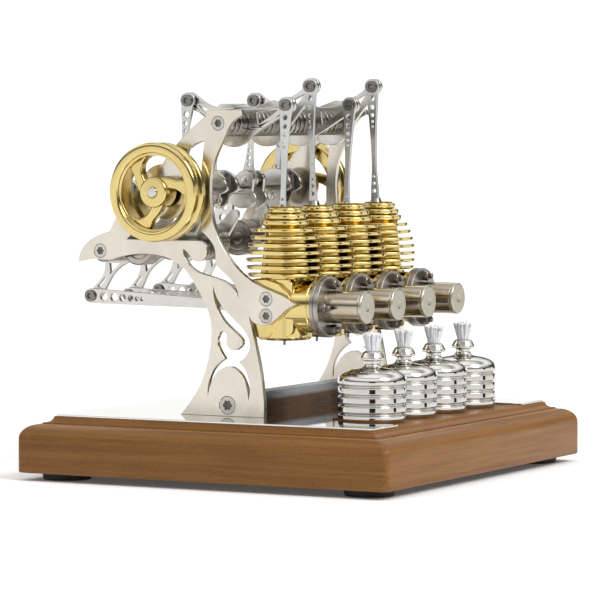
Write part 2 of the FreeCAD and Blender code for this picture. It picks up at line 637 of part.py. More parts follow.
def con_rod(i, y):
    """From a crank pin up to a rocker's left end."""
    top = rocker_points(i)[1]
    pin = add(CRANK, crank_pin(i))
    y0 = y + ROD_Y
    y1 = y0 + ROD_T
    waist = [(0.17, 2.9), (0.29, 2.2), (0.42, 1.7), (0.56, 1.5), (0.68, 1.8), (0.80, 2.5)]
    rod = shaped_rod(top, pin, 4.2, 4.6, waist, y0, y1)
    holes = [(0.17, 1.6), (0.28, 1.2), (0.37, 0.8), (0.63, 0.9), (0.72, 1.1), (0.805, 0.9)]
    rod = pierce(rod, top, pin, holes, y0, y1)
    rod = drill(rod, pin, 2.3 + FIT, y0, y1)
    screw = pivot_screw(top, y0 - 1.4, y1 + 0.3)
    return [rod.cut(screw), screw]


def lever_points(i):
    a = swing(i, LEVER_SWING)
    return [add(LEVER, turn(p, a)) for p in (LEVER_LOW, LEVER_UP, LEVER_DRUM)]


LEVER_FOOT = [
    [(-6.8, -2.0), (-8.2, -7.0), (-8.8, -11.0), (-14.6, -19.2), (-18.2, -22.2)],
    [(-12.6, -26.6), (-9.6, -23.0), (-7.4, -19.4), (-3.8, -13.4), (2.4, -8.2), (11.0, -5.4)],
]
LEVER_GAP = [(-5.8, -7.2), (0.4, -7.2), (-2.0, -9.4), (-5.2, -12.8)]
LEVER_SLIT = [(-8.9, -14.8), (-7.9, -15.4), (-11.6, -20.0), (-12.9, -19.4)]
DRUM_R, DRUM_W = 9.6, 10.0


def lever(i, y):
    """The displacer's three-armed lever, with its ribbed balance drum."""
    low, up, drum = lever_points(i)
    a = swing(i, LEVER_SWING)
    y0 = y + LEVER_Y
    y1 = y0 + LINK_T
    finger = add(LEVER, turn((29.0, 16.5), a))
    pieces = [loop_plate(LEVER_FOOT, LEVER, a, y0, y1), rod_y(low[0], low[1], 3.6, y0, y1),
              rod_y(LEVER[0], LEVER[1], 7.0, y0, y1),
              bar(LEVER, up, 7.0, 3.8, y0, y1), bar(LEVER, drum, 7.0, 6.0, y0, y1),
              bar(drum, finger, 5.0, 2.8, y0, y1)]
    body = fuse(pieces)
    cuts = [polygon(placed(LEVER, opening, a), y0 - 1, y1 + 1) for opening in (LEVER_GAP, LEVER_SLIT)]
    body = pierce(body.cut(cuts), LEVER, up, [(0.42, 2.0), (0.60, 1.7), (0.76, 1.3)], y0, y1)
    body = drill(body, LEVER, 3.0 + FIT, y0, y1)
    body = drill(body, low, 1.5, y0, y1)
    body = drill(body, up, 1.5, y0, y1)
    body = drill(body, drum, 2.0, y0, y1)
    barrel = fuse([rod_y(drum[0], drum[1], DRUM_R, y0 - DRUM_W, y0),
                   rod_y(drum[0], drum[1], 2.0, y0 - 1, y1)])
    grooves = []
    for k in range(5):
        yk = y0 - 1.0 - 2.0 * k
        ring = rod_y(drum[0], drum[1], DRUM_R + 1, yk - 0.4, yk + 0.4)
        grooves.append(ring.cut(rod_y(drum[0], drum[1], DRUM_R - 0.6, yk - 1, yk + 1)))
    return [body, barrel.cut(grooves)]


def displacer_con_rod(i, y):
    """From a crank pin across to the lever's upper end."""
    pin = add(CRANK, crank_pin(i))
    up = lever_points(i)[1]
    y0 = y + CENTRE_Y + 0.1
    y1 = y0 + LINK_T
    rod = fuse([bar(pin, between(pin, up, 0.5), 4.4, 2.0, y0, y1),
                bar(between(pin, up, 0.4), up, 2.0, 4.0, y0, y1)])
    rod = pierce(rod, pin, up, [(0.34, 1.0), (0.50, 0.9), (0.66, 1.1)], y0, y1)
    rod = drill(rod, pin, 2.3 + FIT, y0, y1)
    screw = pivot_screw(up, y0 - 1.4, y1 + 0.1)
    return [rod.cut(screw), screw]


ROD_END_X = -24.0


def link_bar(i, y):
    """The long pierced bar between the lever's lower end and the displacer rod."""
    low = lever_points(i)[0]
    end = (ROD_END_X + low[0] - lever_points(0)[0][0], HOT_Z)
    y0 = y + CENTRE_Y + 0.1
    y1 = y0 + LINK_T
    link = bar(low, end, 3.9, 2.4, y0, y1)
    holes = [(0.105, 2.2), (0.19, 2.2), (0.26, 1.9), (0.325, 1.6), (0.376, 1.2), (0.418, 1.0)]
    link = pierce(link, low, end, holes, y0, y1)
    screw = pivot_screw(low, y0 - 1.4, y + LEVER_Y + LINK_T + 1.2)
    pin = rod_y(end[0], end[1], 1.5, y0 - 0.6, y1 + 4.4)
    return [link.cut([screw, pin]), screw, pin]


def displacer_rod(i, y):
    """The displacer, its rod, and the eye that the link bar's pin turns in."""
    shift = lever_points(i)[0][0] - lever_points(0)[0][0]
    x = ROD_END_X + shift
    eye_y = y + CENTRE_Y + 0.1 + LINK_T + 0.3
    eye = block(x - 4.0, x + 6.0, eye_y, eye_y + 3.2, HOT_Z - 3.4, HOT_Z + 3.4)
    eye = eye.cut(rod_y(x, HOT_Z, 2.1, eye_y - 1, eye_y + 5))
    neck = rod_x(y, HOT_Z, 1.5, x + 4.0, 8.0)
    neck_foot = block(x + 4.0, x + 8.0, y - 1.5, eye_y + 3.2, HOT_Z - 1.5, HOT_Z + 1.5)
    drum = rod_x(y, HOT_Z, 6.6, 10.0 + shift, 53.0 + shift)
    return fuse([eye, neck_foot, neck, rod_x(y, HOT_Z, 1.5, 7.0, 12.0 + shift), drum])


# ---- write every node --------------------------------------------------------------------------
export("wood_base", wood_base())
export("rubber_feet", rubber_feet())
export("top_plate", top_plate())
build_frames()
export("rocker_shaft", cross_shaft(ROCKER))
export("lever_shaft", cross_shaft(LEVER))
export("shaft_spacers", spacers())
export("cylinder_block", cylinder_block())
export("cylinder_bolts", cylinder_bolts())
export("wicks", [wick(y) for y in ROWS])
export("crankshaft", crankshaft())
export("flywheel_near", flywheel(-1))
export("flywheel_far", flywheel(1))
for i, y in enumerate(ROWS):
    tag = "_%d" % (i + 1)
    export("power_cylinder" + tag, power_cylinder(y))
    export("hot_cylinder" + tag, hot_cylinder(y))
    export("burner" + tag, burner(y))
    export("rocker" + tag, rocker(i, y))
    export("power_rod" + tag, power_rod(i, y))
    export("piston" + tag, piston(i, y))
    export("con_rod" + tag, con_rod(i, y))
    export("lever" + tag, lever(i, y))
    export("displacer_con_rod" + tag, displacer_con_rod(i, y))
    export("link_bar" + tag, link_bar(i, y))
    export("displacer_rod" + tag, displacer_rod(i, y))
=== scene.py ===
import bmesh
import bpy
import json
import math
import random
from mathutils import Matrix, Vector

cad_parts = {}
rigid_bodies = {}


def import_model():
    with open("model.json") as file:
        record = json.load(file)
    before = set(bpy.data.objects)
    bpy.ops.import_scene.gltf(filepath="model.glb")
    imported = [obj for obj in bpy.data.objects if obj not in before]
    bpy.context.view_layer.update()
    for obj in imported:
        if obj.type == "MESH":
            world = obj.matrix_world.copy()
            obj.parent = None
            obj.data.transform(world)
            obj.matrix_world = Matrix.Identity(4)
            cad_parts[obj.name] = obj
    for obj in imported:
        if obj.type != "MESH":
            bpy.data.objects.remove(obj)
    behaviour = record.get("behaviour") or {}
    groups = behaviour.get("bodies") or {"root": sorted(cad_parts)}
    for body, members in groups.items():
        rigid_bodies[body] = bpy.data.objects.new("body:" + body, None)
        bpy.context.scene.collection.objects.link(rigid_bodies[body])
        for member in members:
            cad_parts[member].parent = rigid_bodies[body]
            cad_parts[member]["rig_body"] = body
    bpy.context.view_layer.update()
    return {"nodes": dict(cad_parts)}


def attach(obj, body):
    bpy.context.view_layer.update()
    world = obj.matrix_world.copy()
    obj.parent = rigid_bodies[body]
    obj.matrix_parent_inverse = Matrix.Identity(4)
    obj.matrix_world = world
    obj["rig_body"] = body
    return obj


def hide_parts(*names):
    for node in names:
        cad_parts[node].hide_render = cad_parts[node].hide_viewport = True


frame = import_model()
NODES = frame["nodes"]
TAGS = ["_%d" % n for n in range(1, 5)]
Y, Z = 1, 2                                   # axis numbers
MM = 0.001

# Lengths of the object are in mm; camera, studio and material numbers are in metres.
# An axis that runs along Y is given as (X, Z).
PITCH = 35.0                                  # spacing of the four cylinders along Y
ROWS = [(i - 1.5) * PITCH for i in range(4)]  # Y of each cylinder's plane
BASE_HALF_X, BASE_HALF_Y = 105.0, 115.0
BASE_TOP, DECK = 32.0, 33.0                   # the wood's flat top, and the plate's upper face
FRAME_OUT, FRAME_IN = 70.0, 67.0              # the frames' outer and inner faces
FLANGE_SEAT = 37.6                            # where the horizontal cylinders meet the block
BLOCK_TOP, BLOCK_HALF_Y = 102.5, 64.5
BORE_X, BORE_R = 16.0, 7.2                    # the upright cylinders
HOT_Z, BOLT_CIRCLE = 88.65, 11.5              # the horizontal cylinders
BURNER_X = 65.5
CRANK = (-43.1, 145.7)
SHAFT_R, SHAFT_END = 2.6, 84.4                # the crankshaft's journals
THROW, THROW_START = 4.8, math.radians(74.0)  # crank pins of the odd rows, from +X towards +Z
ROCKER, LEVER = (-12.8, 180.5), (-81.9, 115.2)
# the even rows' rockers and levers stand this much further round
ROCKER_SWING, LEVER_SWING = math.radians(18.9), math.radians(4.3)
# eyes of the rockers and levers, from their own shafts
ROCKER_RIGHT, ROCKER_LEFT = (31.2, 9.1), (-25.2, 11.4)
LEVER_TOP, LEVER_LOW, LEVER_DRUM = (8.7, 31.8), (-15.3, -24.2), (17.4, 2.0)
DISPLACER_EYE_X = -24.0
ROD_Y, CENTRE_Y, LEVER_Y = -4.2, -1.7, 1.2    # -Y faces, from the row: rods, rockers and bars, levers
LINK_T, ROD_T = 2.4, 1.8                      # thickness of rockers, levers and bars, and of rods


# ---- camera, light and floor -------------------------------------------------------------------
def make_camera():
    """A long lens near deck height, on the near side and round towards the burners."""
    cam = bpy.data.objects.new("camera", bpy.data.cameras.new("camera"))
    bpy.context.scene.collection.objects.link(cam)
    bpy.context.scene.camera = cam
    centre = Vector((-0.0035, 0.0, 0.0888))
    azimuth, elevation, distance = math.radians(28.0), math.radians(3.0), 1.9153
    back = Vector((math.sin(azimuth) * math.cos(elevation),
                   -math.cos(azimuth) * math.cos(elevation), math.sin(elevation)))
    cam.location = centre + back * distance
    cam.rotation_mode = "QUATERNION"
    cam.rotation_quaternion = (-back).to_track_quat("-Z", "Y")
    cam.data.sensor_width = 36.0
    cam.data.lens = 221.7
    cam.data.clip_start, cam.data.clip_end = 0.05, 60.0


def sun(name, azimuth, elevation, strength, spread):
    """A soft white sun; azimuth 0 stands on the -Y side and grows towards +X."""
    data = bpy.data.lights.new(name, "SUN")
    data.energy, data.angle = strength, math.radians(spread)
    lamp = bpy.data.objects.new(name, data)
    a, e = math.radians(azimuth), math.radians(elevation)
    towards = Vector((math.sin(a) * math.cos(e), -math.cos(a) * math.cos(e), math.sin(e)))
    lamp.rotation_mode = "QUATERNION"
    lamp.rotation_quaternion = (-towards).to_track_quat("-Z", "Y")
    bpy.context.scene.collection.objects.link(lamp)


# (height, grey) of the studio above the horizon, which is at 0.5; straight up is 1
SKY_STOPS = ((0.555, 0.70), (0.59, 0.11), (0.65, 0.07), (0.72, 0.55), (0.82, 1.0), (0.90, 0.3))


def make_world():
    """White round the horizon, then a dark band and a bright ceiling for the metal to show."""
    world = bpy.data.worlds.new("studio")
    bpy.context.scene.world = world
    world.use_nodes = True
    nodes, links = world.node_tree.nodes, world.node_tree.links
    background = nodes["Background"]
    coords = nodes.new("ShaderNodeTexCoord")
    split = nodes.new("ShaderNodeSeparateXYZ")
    ramp = nodes.new("ShaderNodeValToRGB")
    shift = nodes.new("ShaderNodeMath")
    shift.operation = "MULTIPLY_ADD"
    shift.inputs[1].default_value = 0.5
    shift.inputs[2].default_value = 0.5
    links.new(coords.outputs["Generated"], split.inputs[0])
    links.new(split.outputs["Z"], shift.inputs[0])
    links.new(shift.outputs[0], ramp.inputs[0])
    links.new(ramp.outputs[0], background.inputs[0])
    stops = ramp.color_ramp
    stops.elements[0].position, stops.elements[0].color = 0.0, (0.7, 0.7, 0.7, 1)
    stops.elements[1].position, stops.elements[1].color = 1.0, (1, 1, 1, 1)
    for place, grey in SKY_STOPS:
        stops.elements.new(place).color = (grey, grey, grey, 1)
    background.inputs[1].default_value = 1.55


def flat_sheet(name, corners, colour, rough, glow=0.0):
    """One flat sheet of the studio, such as its floor."""
    mesh = bpy.data.meshes.new(name)
    mesh.from_pydata(corners, [], [(0, 1, 2, 3)])
    obj = bpy.data.objects.new(name, mesh)
    bpy.context.scene.collection.objects.link(obj)
    mat = bpy.data.materials.new(name)
    mat.use_nodes = True
    shader = mat.node_tree.nodes["Principled BSDF"]
    shader.inputs["Base Color"].default_value = (*colour, 1)
    shader.inputs["Roughness"].default_value = rough
    shader.inputs["Emission Color"].default_value = (1, 1, 1, 1)
    shader.inputs["Emission Strength"].default_value = glow
    mesh.materials.append(mat)


FLOOR_HALF = 14.0
# (azimuth in degrees, distance, half width, height) of each dark card that the metal reflects
STUDIO_CARDS = ((28, 2.9, 0.50, 1.1), (106, 1.75, 0.17, 0.55),
                (164, 1.75, 0.26, 0.55), (255, 1.75, 0.26, 0.55))


def make_stage():
    """A plain pale floor, and dark cards standing well away from the object."""
    h = FLOOR_HALF
    flat_sheet("floor", [(-h, -h, 0), (h, -h, 0), (h, h, 0), (-h, h, 0)], (0.94, 0.94, 0.94), 0.9, 0.06)
    for k, (azimuth, distance, half, height) in enumerate(STUDIO_CARDS):
        a = math.radians(azimuth)
        side = Vector((math.cos(a), math.sin(a), 0)) * half
        foot = Vector((math.sin(a), -math.cos(a), 0)) * distance
        up = Vector((0, 0, height))
        flat_sheet("dark_card_%d" % (k + 1), [foot - side, foot + side, foot + side + up, foot - side + up],
                   (0.012, 0.012, 0.012), 0.8)


# ---- material helpers --------------------------------------------------------------------------
class Nodes:
    """A small wrapper round one material's node tree."""

    def __init__(self, name):
        self.mat = bpy.data.materials.new(name)
        self.mat.use_nodes = True
        self.tree = self.mat.node_tree
        self.shader = self.tree.nodes["Principled BSDF"]
        self.object = self.tree.nodes.new("ShaderNodeTexCoord").outputs["Object"]

    def link(self, a, b):
        self.tree.links.new(a, b)

    def put(self, socket, value):
        self.shader.inputs[socket].default_value = value

    def math(self, operation, a, b=None, c=None):
        node = self.tree.nodes.new("ShaderNodeMath")
        node.operation = operation
        for k, v in enumerate((a, b, c)):
            if v is None:
                continue
            if isinstance(v, (int, float)):
                node.inputs[k].default_value = v
            else:
                self.link(v, node.inputs[k])
        return node.outputs[0]

    def scaled(self, vector, scale):
        node = self.tree.nodes.new("ShaderNodeMapping")
        node.inputs["Scale"].default_value = scale
        self.link(vector, node.inputs["Vector"])
        return node.outputs[0]

    def noise(self, vector, scale, detail=3.0, rough=0.5, distortion=0.0):
        node = self.tree.nodes.new("ShaderNodeTexNoise")
        node.inputs["Scale"].default_value = scale
        node.inputs["Detail"].default_value = detail
        node.inputs["Roughness"].default_value = rough
        node.inputs["Distortion"].default_value = distortion
        self.link(vector, node.inputs["Vector"])
        return node.outputs["Fac"]

    def span(self, value, low, high, new_low, new_high):
        node = self.tree.nodes.new("ShaderNodeMapRange")
        for k, v in enumerate((low, high, new_low, new_high), start=1):
            node.inputs[k].default_value = v
        self.link(value, node.inputs[0])
        return node.outputs[0]

    def ramp(self, value, stops):
        node = self.tree.nodes.new("ShaderNodeValToRGB")
        marks = node.color_ramp.elements
        for k, (place, colour) in enumerate(stops):
            mark = marks[k] if k < 2 else marks.new(place)
            mark.position, mark.color = place, (*colour, 1)
        self.link(value, node.inputs[0])
        return node.outputs[0]

    def mix(self, factor, a, b, blend="MIX"):
        node = self.tree.nodes.new("ShaderNodeMix")
        node.data_type, node.blend_type = "RGBA", blend
        wanted = {"Factor": factor, "A": a, "B": b}
        for socket in node.inputs:
            if socket.enabled and socket.name in wanted:
                v = wanted[socket.name]
                if isinstance(v, (int, float)):
                    socket.default_value = v
                elif isinstance(v, tuple):
                    socket.default_value = (*v, 1)
                else:
                    self.link(v, socket)
        return [o for o in node.outputs if o.enabled][0]

    def radial(self):
        """(distance from the local Z axis, 0, height): the marks a lathe leaves."""
        split = self.tree.nodes.new("ShaderNodeSeparateXYZ")
        self.link(self.object, split.inputs[0])
        x2 = self.math("MULTIPLY", split.outputs[0], split.outputs[0])
        y2 = self.math("MULTIPLY", split.outputs[1], split.outputs[1])
        join = self.tree.nodes.new("ShaderNodeCombineXYZ")
        self.link(self.math("SQRT", self.math("ADD", x2, y2)), join.inputs[0])
        self.link(split.outputs[2], join.inputs[2])
        return join.outputs[0]

    def bump(self, height, strength, distance):
        node = self.tree.nodes.new("ShaderNodeBump")
        node.inputs["Strength"].default_value = strength
        node.inputs["Distance"].default_value = distance
        self.link(height, node.inputs["Height"])
        self.link(node.outputs[0], self.shader.inputs["Normal"])


def metal(name, colour, tint, rough, grain, strength, turned=False, smudge=45.0, spread=0.06, groove=None):
    """Metal with machining marks, slight tarnish and handling marks.  grain = marks per metre; groove =
    (radius in mm, share of the colour left): painted shade darkening the floor of a turned part's grooves."""
    n = Nodes(name)
    n.put("Metallic", 1.0)
    base = n.radial() if turned else n.object
    marks = n.noise(n.scaled(base, grain), 1.0, 4.0, 0.6)
    cloud = n.noise(n.object, smudge, 4.0, 0.6, 0.4)
    fine = n.noise(n.object, smudge * 14, 2.0, 0.5)
    shade = n.mix(n.span(cloud, 0.40, 0.75, 0.0, 1.0), colour, tint)
    # painted shade: the colour darkens towards the floor radius of the grooves
    if groove:
        split = n.tree.nodes.new("ShaderNodeSeparateXYZ")
        n.link(base, split.inputs[0])
        off = n.math("ABSOLUTE", n.math("SUBTRACT", split.outputs[0], groove[0] * MM))
        unshaded = n.span(off, 0.12 * MM, 0.22 * MM, groove[1], 1.0)
        grey = n.tree.nodes.new("ShaderNodeCombineColor")
        for socket in grey.inputs:
            n.link(unshaded, socket)
        shade = n.mix(1.0, shade, grey.outputs[0], "MULTIPLY")
    n.link(shade, n.shader.inputs["Base Color"])
    worn = n.math("ADD", n.span(marks, 0.3, 0.7, -spread * 0.5, spread * 0.5),
                  n.span(cloud, 0.3, 0.7, rough - spread * 0.5, rough + spread))
    n.link(n.math("MAXIMUM", n.math("MULTIPLY_ADD", fine, 0.03, worn), 0.03), n.shader.inputs["Roughness"])
    if strength > 0:
        n.bump(marks, strength, 0.00004)
    return n.mat


def make_wood():
    """Oiled hardwood.  UV runs in metres: U along each side, V round the moulding."""
    n = Nodes("oiled_hardwood")
    uv = n.tree.nodes.new("ShaderNodeUVMap")
    uv.uv_map = "grain"
    painted_light_and_shade = n.tree.nodes.new("ShaderNodeAttribute")
    painted_light_and_shade.attribute_name = "painted_light_and_shade"
    warp = n.noise(n.scaled(uv.outputs[0], (14, 60, 1)), 1.0, 2.0, 0.5)
    rings = n.noise(n.scaled(uv.outputs[0], (7, 330, 1)), 1.0, 5.0, 0.62, 0.35)
    streak = n.noise(n.scaled(uv.outputs[0], (60, 1900, 1)), 1.0, 3.0, 0.6)
    pores = n.noise(n.scaled(uv.outputs[0], (420, 3600, 1)), 1.0, 2.0, 0.5)
    figure = n.math("MULTIPLY_ADD", warp, 0.35, n.math("MULTIPLY", rings, 0.75))
    colour = n.ramp(figure, [(0.34, (0.155, 0.064, 0.014)), (0.70, (0.285, 0.130, 0.034)),
                             (0.48, (0.200, 0.086, 0.020)), (0.57, (0.236, 0.104, 0.026))])
    colour = n.mix(n.span(streak, 0.40, 0.70, 0.0, 0.45), colour, (0.150, 0.066, 0.016))
    holes = n.span(pores, 0.60, 0.70, 0.0, 0.75)
    colour = n.mix(holes, colour, (0.055, 0.022, 0.009))
    # the colour attribute multiplies in painted shade on the sides, the quirk and the underside, and
    # painted highlights on the lips
    colour = n.mix(1.0, colour, painted_light_and_shade.outputs["Color"], "MULTIPLY")
    n.link(colour, n.shader.inputs["Base Color"])
    n.link(n.span(rings, 0.3, 0.7, 0.42, 0.30), n.shader.inputs["Roughness"])
    n.put("Specular IOR Level", 0.20)
    n.bump(n.math("SUBTRACT", n.math("MULTIPLY", streak, 0.5), holes), 0.35, 0.00008)
    return n.mat


def make_bar():
    """A bronzed bar with a paler grey upper band; heights in metres above the table."""
    n = Nodes("bronzed_bar")
    n.put("Metallic", 1.0)
    split = n.tree.nodes.new("ShaderNodeSeparateXYZ")
    n.link(n.object, split.inputs[0])
    brushed = n.noise(n.scaled(n.object, (2600, 30, 2600)), 1.0, 4.0, 0.6)
    cloud = n.noise(n.object, 60, 4.0, 0.6)
    height = n.math("MULTIPLY_ADD", cloud, 0.0016, split.outputs[2])
    band = n.span(height, 0.0396, 0.0412, 0.0, 1.0)
    worn = n.mix(n.span(cloud, 0.4, 0.7, 0.0, 1.0), (0.135, 0.072, 0.034), (0.095, 0.045, 0.020))
    n.link(n.mix(band, worn, (0.30, 0.31, 0.32)), n.shader.inputs["Base Color"])
    n.link(n.span(brushed, 0.3, 0.7, 0.22, 0.34), n.shader.inputs["Roughness"])
    n.bump(brushed, 0.08, 0.00004)
    return n.mat


def make_rubber():
    n = Nodes("moulded_rubber")
    speck = n.noise(n.object, 2500, 3.0, 0.6)
    dust = n.noise(n.object, 130, 4.0, 0.6)
    n.link(n.mix(n.span(dust, 0.5, 0.75, 0.0, 0.5), (0.018, 0.018, 0.018), (0.06, 0.057, 0.052)),
           n.shader.inputs["Base Color"])
    n.link(n.span(dust, 0.3, 0.7, 0.65, 0.85), n.shader.inputs["Roughness"])
    n.bump(speck, 0.3, 0.00005)
    return n.mat


def make_wick():
    n = Nodes("wick_fibre")
    strand = n.noise(n.scaled(n.object, (1400, 1400, 160)), 1.0, 3.0, 0.6)
    n.link(n.ramp(strand, [(0.3, (0.60, 0.60, 0.63)), (0.7, (0.93, 0.93, 0.95))]),
           n.shader.inputs["Base Color"])
    n.put("Roughness", 0.85)
    n.put("Sheen Weight", 0.3)
    n.put("Subsurface Weight", 0.15)
    n.put("Subsurface Radius", (0.002, 0.002, 0.002))
    n.bump(strand, 0.7, 0.0002)
    return n.mat


BRASS, BRASS_TINT = (0.69, 0.55, 0.23), (0.62, 0.48, 0.185)
MATERIALS = {
    "frame": metal("satin_plate", (0.67, 0.625, 0.545), (0.61, 0.565, 0.49), 0.17, (3000, 3000, 60), 0.03),
    "links": metal("link_steel", (0.60, 0.585, 0.55), (0.52, 0.50, 0.46), 0.14, (2500, 2500, 120), 0.05),
    "rods": metal("rod_steel", (0.57, 0.575, 0.565), (0.50, 0.50, 0.49), 0.20, (2600, 2600, 200), 0.06),
    "screws": metal("screw_steel", (0.56, 0.54, 0.50), (0.42, 0.40, 0.36), 0.22, (4000, 900, 4000), 0.08),
    # the sockets' floors: steel darkened as painted shade deep in each socket
    "recess": metal("socket_painted_shade", (0.15, 0.14, 0.125), (0.22, 0.20, 0.18), 0.4, (3000, 3000, 3000), 0.2),
    "pivots": metal("pivot_steel", (0.22, 0.205, 0.185), (0.15, 0.14, 0.125), 0.20, (9000, 1, 9000), 0.08,
                    True),
    "shafts": metal("ground_steel", (0.5, 0.5, 0.5), (0.4, 0.4, 0.4), 0.2, (9000, 1, 3000), 0.1),
    # the three grooved parts below darken their groove floors with painted shade
    "spacers": metal("black_ring", (0.36, 0.345, 0.315), (0.25, 0.24, 0.215), 0.16, (9000, 1, 2600), 0.10,
                     True, groove=(6.27, 0.08)),
    "lower_spacers": metal("black_ring_small", (0.42, 0.40, 0.37), (0.30, 0.285, 0.26), 0.16,
                           (9000, 1, 2600), 0.10, True, groove=(5.47, 0.08)),
    "drum": metal("ribbed_drum", (0.42, 0.385, 0.34), (0.30, 0.27, 0.24), 0.16, (9000, 1, 2600), 0.08, True,
                  groove=(9.03, 0.08)),
    "crank": metal("crank_steel", (0.60, 0.585, 0.555), (0.52, 0.505, 0.475), 0.12, (5000, 300, 5000),
                   0.03),
    "brass": metal("polished_brass", BRASS, BRASS_TINT, 0.09, (260, 1800, 260), 0.03),
    "turned_brass": metal("turned_brass", BRASS, BRASS_TINT, 0.09, (7000, 1, 7000), 0.05, True),
    "piston": metal("piston_steel", (0.38, 0.36, 0.33), (0.25, 0.23, 0.21), 0.25, (8000, 1, 8000), 0.1,
                    True),
    "hot": metal("hot_steel", (0.50, 0.45, 0.365), (0.42, 0.34, 0.235), 0.13, (7000, 1, 5200), 0.12, True),
    "hot_cap": metal("hot_cap_steel", (0.50, 0.47, 0.39), (0.44, 0.39, 0.30), 0.26, (9000, 1, 1), 0.12,
                     True),
    "flange": metal("flange_steel", (0.40, 0.375, 0.345), (0.27, 0.245, 0.22), 0.24, (6000, 1, 5000), 0.14,
                    True),
    "bolts": metal("black_bolt", (0.20, 0.185, 0.165), (0.26, 0.22, 0.17), 0.26, (3000, 3000, 3000), 0.1),
    "burner": metal("chrome", (0.62, 0.605, 0.575), (0.56, 0.54, 0.50), 0.04, (2000, 1, 6500), 0.02, True,
                    spread=0.03),
    "top_plate": metal("mirror_plate", (0.72, 0.70, 0.67), (0.66, 0.635, 0.60), 0.02, (40, 2600, 40), 0.0,
                       spread=0.02),
    "tie_bar": make_bar(),
    "wood_base": make_wood(),
    "rubber_feet": make_rubber(),
    "wick": make_wick(),
}


# ---- building helpers --------------------------------------------------------------------------
def finish_mesh(mesh, angle=38.0):
    work = bmesh.new()
    work.from_mesh(mesh)
    bmesh.ops.remove_doubles(work, verts=work.verts, dist=2e-6)
    bmesh.ops.dissolve_degenerate(work, edges=work.edges, dist=1e-6)
    bmesh.ops.recalc_face_normals(work, faces=work.faces)
    work.to_mesh(mesh)
    work.free()
    mesh.shade_smooth()
    mesh.set_sharp_from_angle(angle=math.radians(angle))


def level_caps(mesh, w):
    """Keeps a plate's two faces optically flat up to the start of the eased rim."""
    facing = {}
    for face in mesh.polygons:
        lean = face.normal.dot(w)
        if abs(lean) > 0.999:
            for index in face.vertices:
                facing[index] = w * math.copysign(1.0, lean)
    normals = [Vector(n.vector) for n in mesh.corner_normals]
    for loop in mesh.loops:
        if loop.vertex_index in facing:
            normals[loop.index] = facing[loop.vertex_index]
    mesh.normals_split_custom_set(normals)


def weigh_normals(obj):
    """Large faces of a turned part stay optically true; only the small roundings bend the light."""
    weigh = obj.modifiers.new("weigh", "WEIGHTED_NORMAL")
    weigh.mode, weigh.weight, weigh.keep_sharp = "FACE_AREA", 50, True


def add_piece(name, mesh, node, finish, matrix=None):
    """Makes the object, gives it its finish, and lets it stand for its CAD node."""
    obj = bpy.data.objects.new(name, mesh)
    bpy.context.scene.collection.objects.link(obj)
    if matrix is not None:
        obj.matrix_world = matrix
    mesh.materials.clear()
    mesh.materials.append(MATERIALS[finish])
    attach(obj, NODES[node]["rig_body"])
    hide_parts(node)
    return obj


def keep_node(node, finish):
    """A CAD node whose own shape is right: it only gets its finish."""
    mesh = NODES[node].data
    mesh.materials.clear()
    mesh.materials.append(MATERIALS[finish])


LEVELS_PER_MM = 20                            # faces within a twentieth of a mm share a level


def planar_loops(node, axis, sign, level=None):
    """The outlines of a CAD node's flat face that looks along sign * axis, and that face's level in mm."""
    mesh = NODES[node].data
    groups = {}
    for face in mesh.polygons:
        if face.normal[axis] * sign > 0.9995:
            groups.setdefault(round(face.center[axis] * (LEVELS_PER_MM / MM)), []).append(face)
    if level is None:
        best = max(groups, key=lambda k: sum(f.area for f in groups[k]))
    else:
        best = min(groups, key=lambda k: abs(k - level * LEVELS_PER_MM))
    points, edges = {}, {}
    for face in groups[best]:
        ring = []
        for index in face.vertices:
            co = mesh.vertices[index].co
            key = tuple(round(c * 1e6) for c in co)
            points[key] = co.copy()
            ring.append(key)
        for a, b in zip(ring, ring[1:] + ring[:1]):
            if a == b:
                continue
            if (b, a) in edges:
                del edges[(b, a)]
            else:
                edges[(a, b)] = True
    after = {}
    for a, b in edges:
        after.setdefault(a, []).append(b)
    loops = []
    while after:
        start = next(iter(after))
        loop, here = [], start
        while here in after:
            loop.append(points[here])
            following = after[here].pop()
            if not after[here]:
                del after[here]
            here = following
            if here == start:
                break
        if len(loop) > 2:
            loops.append(loop)
    return loops, best / LEVELS_PER_MM


def basis(axis, sign):
    """Columns U, V, W of a plate whose outer face looks along W = sign * axis."""
    w = Vector((0, 0, 0))
    w[axis] = sign
    v = Vector((0, 1, 0)) if axis == Z else Vector((0, 0, 1))
    u = v.cross(w)
    return u, v, w


def plate_mesh(name, loops, axis, sign, level, thickness, bevel, rounds=2):
    """A flat plate with every rim eased by bevel; outlines and level in mm."""
    u, v, w = basis(axis, sign)
    data = bpy.data.curves.new(name, "CURVE")
    data.dimensions, data.fill_mode = "2D", "BOTH"
    data.extrude = thickness / 2 - bevel
    data.bevel_depth, data.bevel_resolution, data.offset = bevel, rounds, -bevel
    for loop in loops:
        flat = [Vector((p.dot(u), p.dot(v))) / MM for p in loop]
        spline = data.splines.new("POLY")
        spline.points.add(len(flat) - 1)
        for point, place in zip(spline.points, flat):
            point.co = (place.x, place.y, 0, 1)
        spline.use_cyclic_u = True
    carrier = bpy.data.objects.new(name, data)
    bpy.context.scene.collection.objects.link(carrier)
    bpy.context.view_layer.update()
    graph = bpy.context.evaluated_depsgraph_get()
    mesh = bpy.data.meshes.new_from_object(carrier.evaluated_get(graph))
    bpy.data.objects.remove(carrier)
    middle = w * (level * sign - thickness / 2) * MM
    turn = Matrix((u * MM, v * MM, w * MM)).transposed().to_4x4()
    mesh.transform(Matrix.Translation(middle) @ turn)
    finish_mesh(mesh)
    level_caps(mesh, w)
    return mesh


def flat_piece(name, node, finish, thickness, bevel, axis=Y, sign=-1, level=None, rounds=2, solid=False):
    loops, found = planar_loops(node, axis, sign, level)
    if solid:
        loops = [max(loops, key=lambda loop: max(p.z for p in loop) - min(p.z for p in loop))]
    mesh = plate_mesh(name, loops, axis, sign, found, thickness, bevel, rounds)
    return add_piece(name, mesh, node, finish)


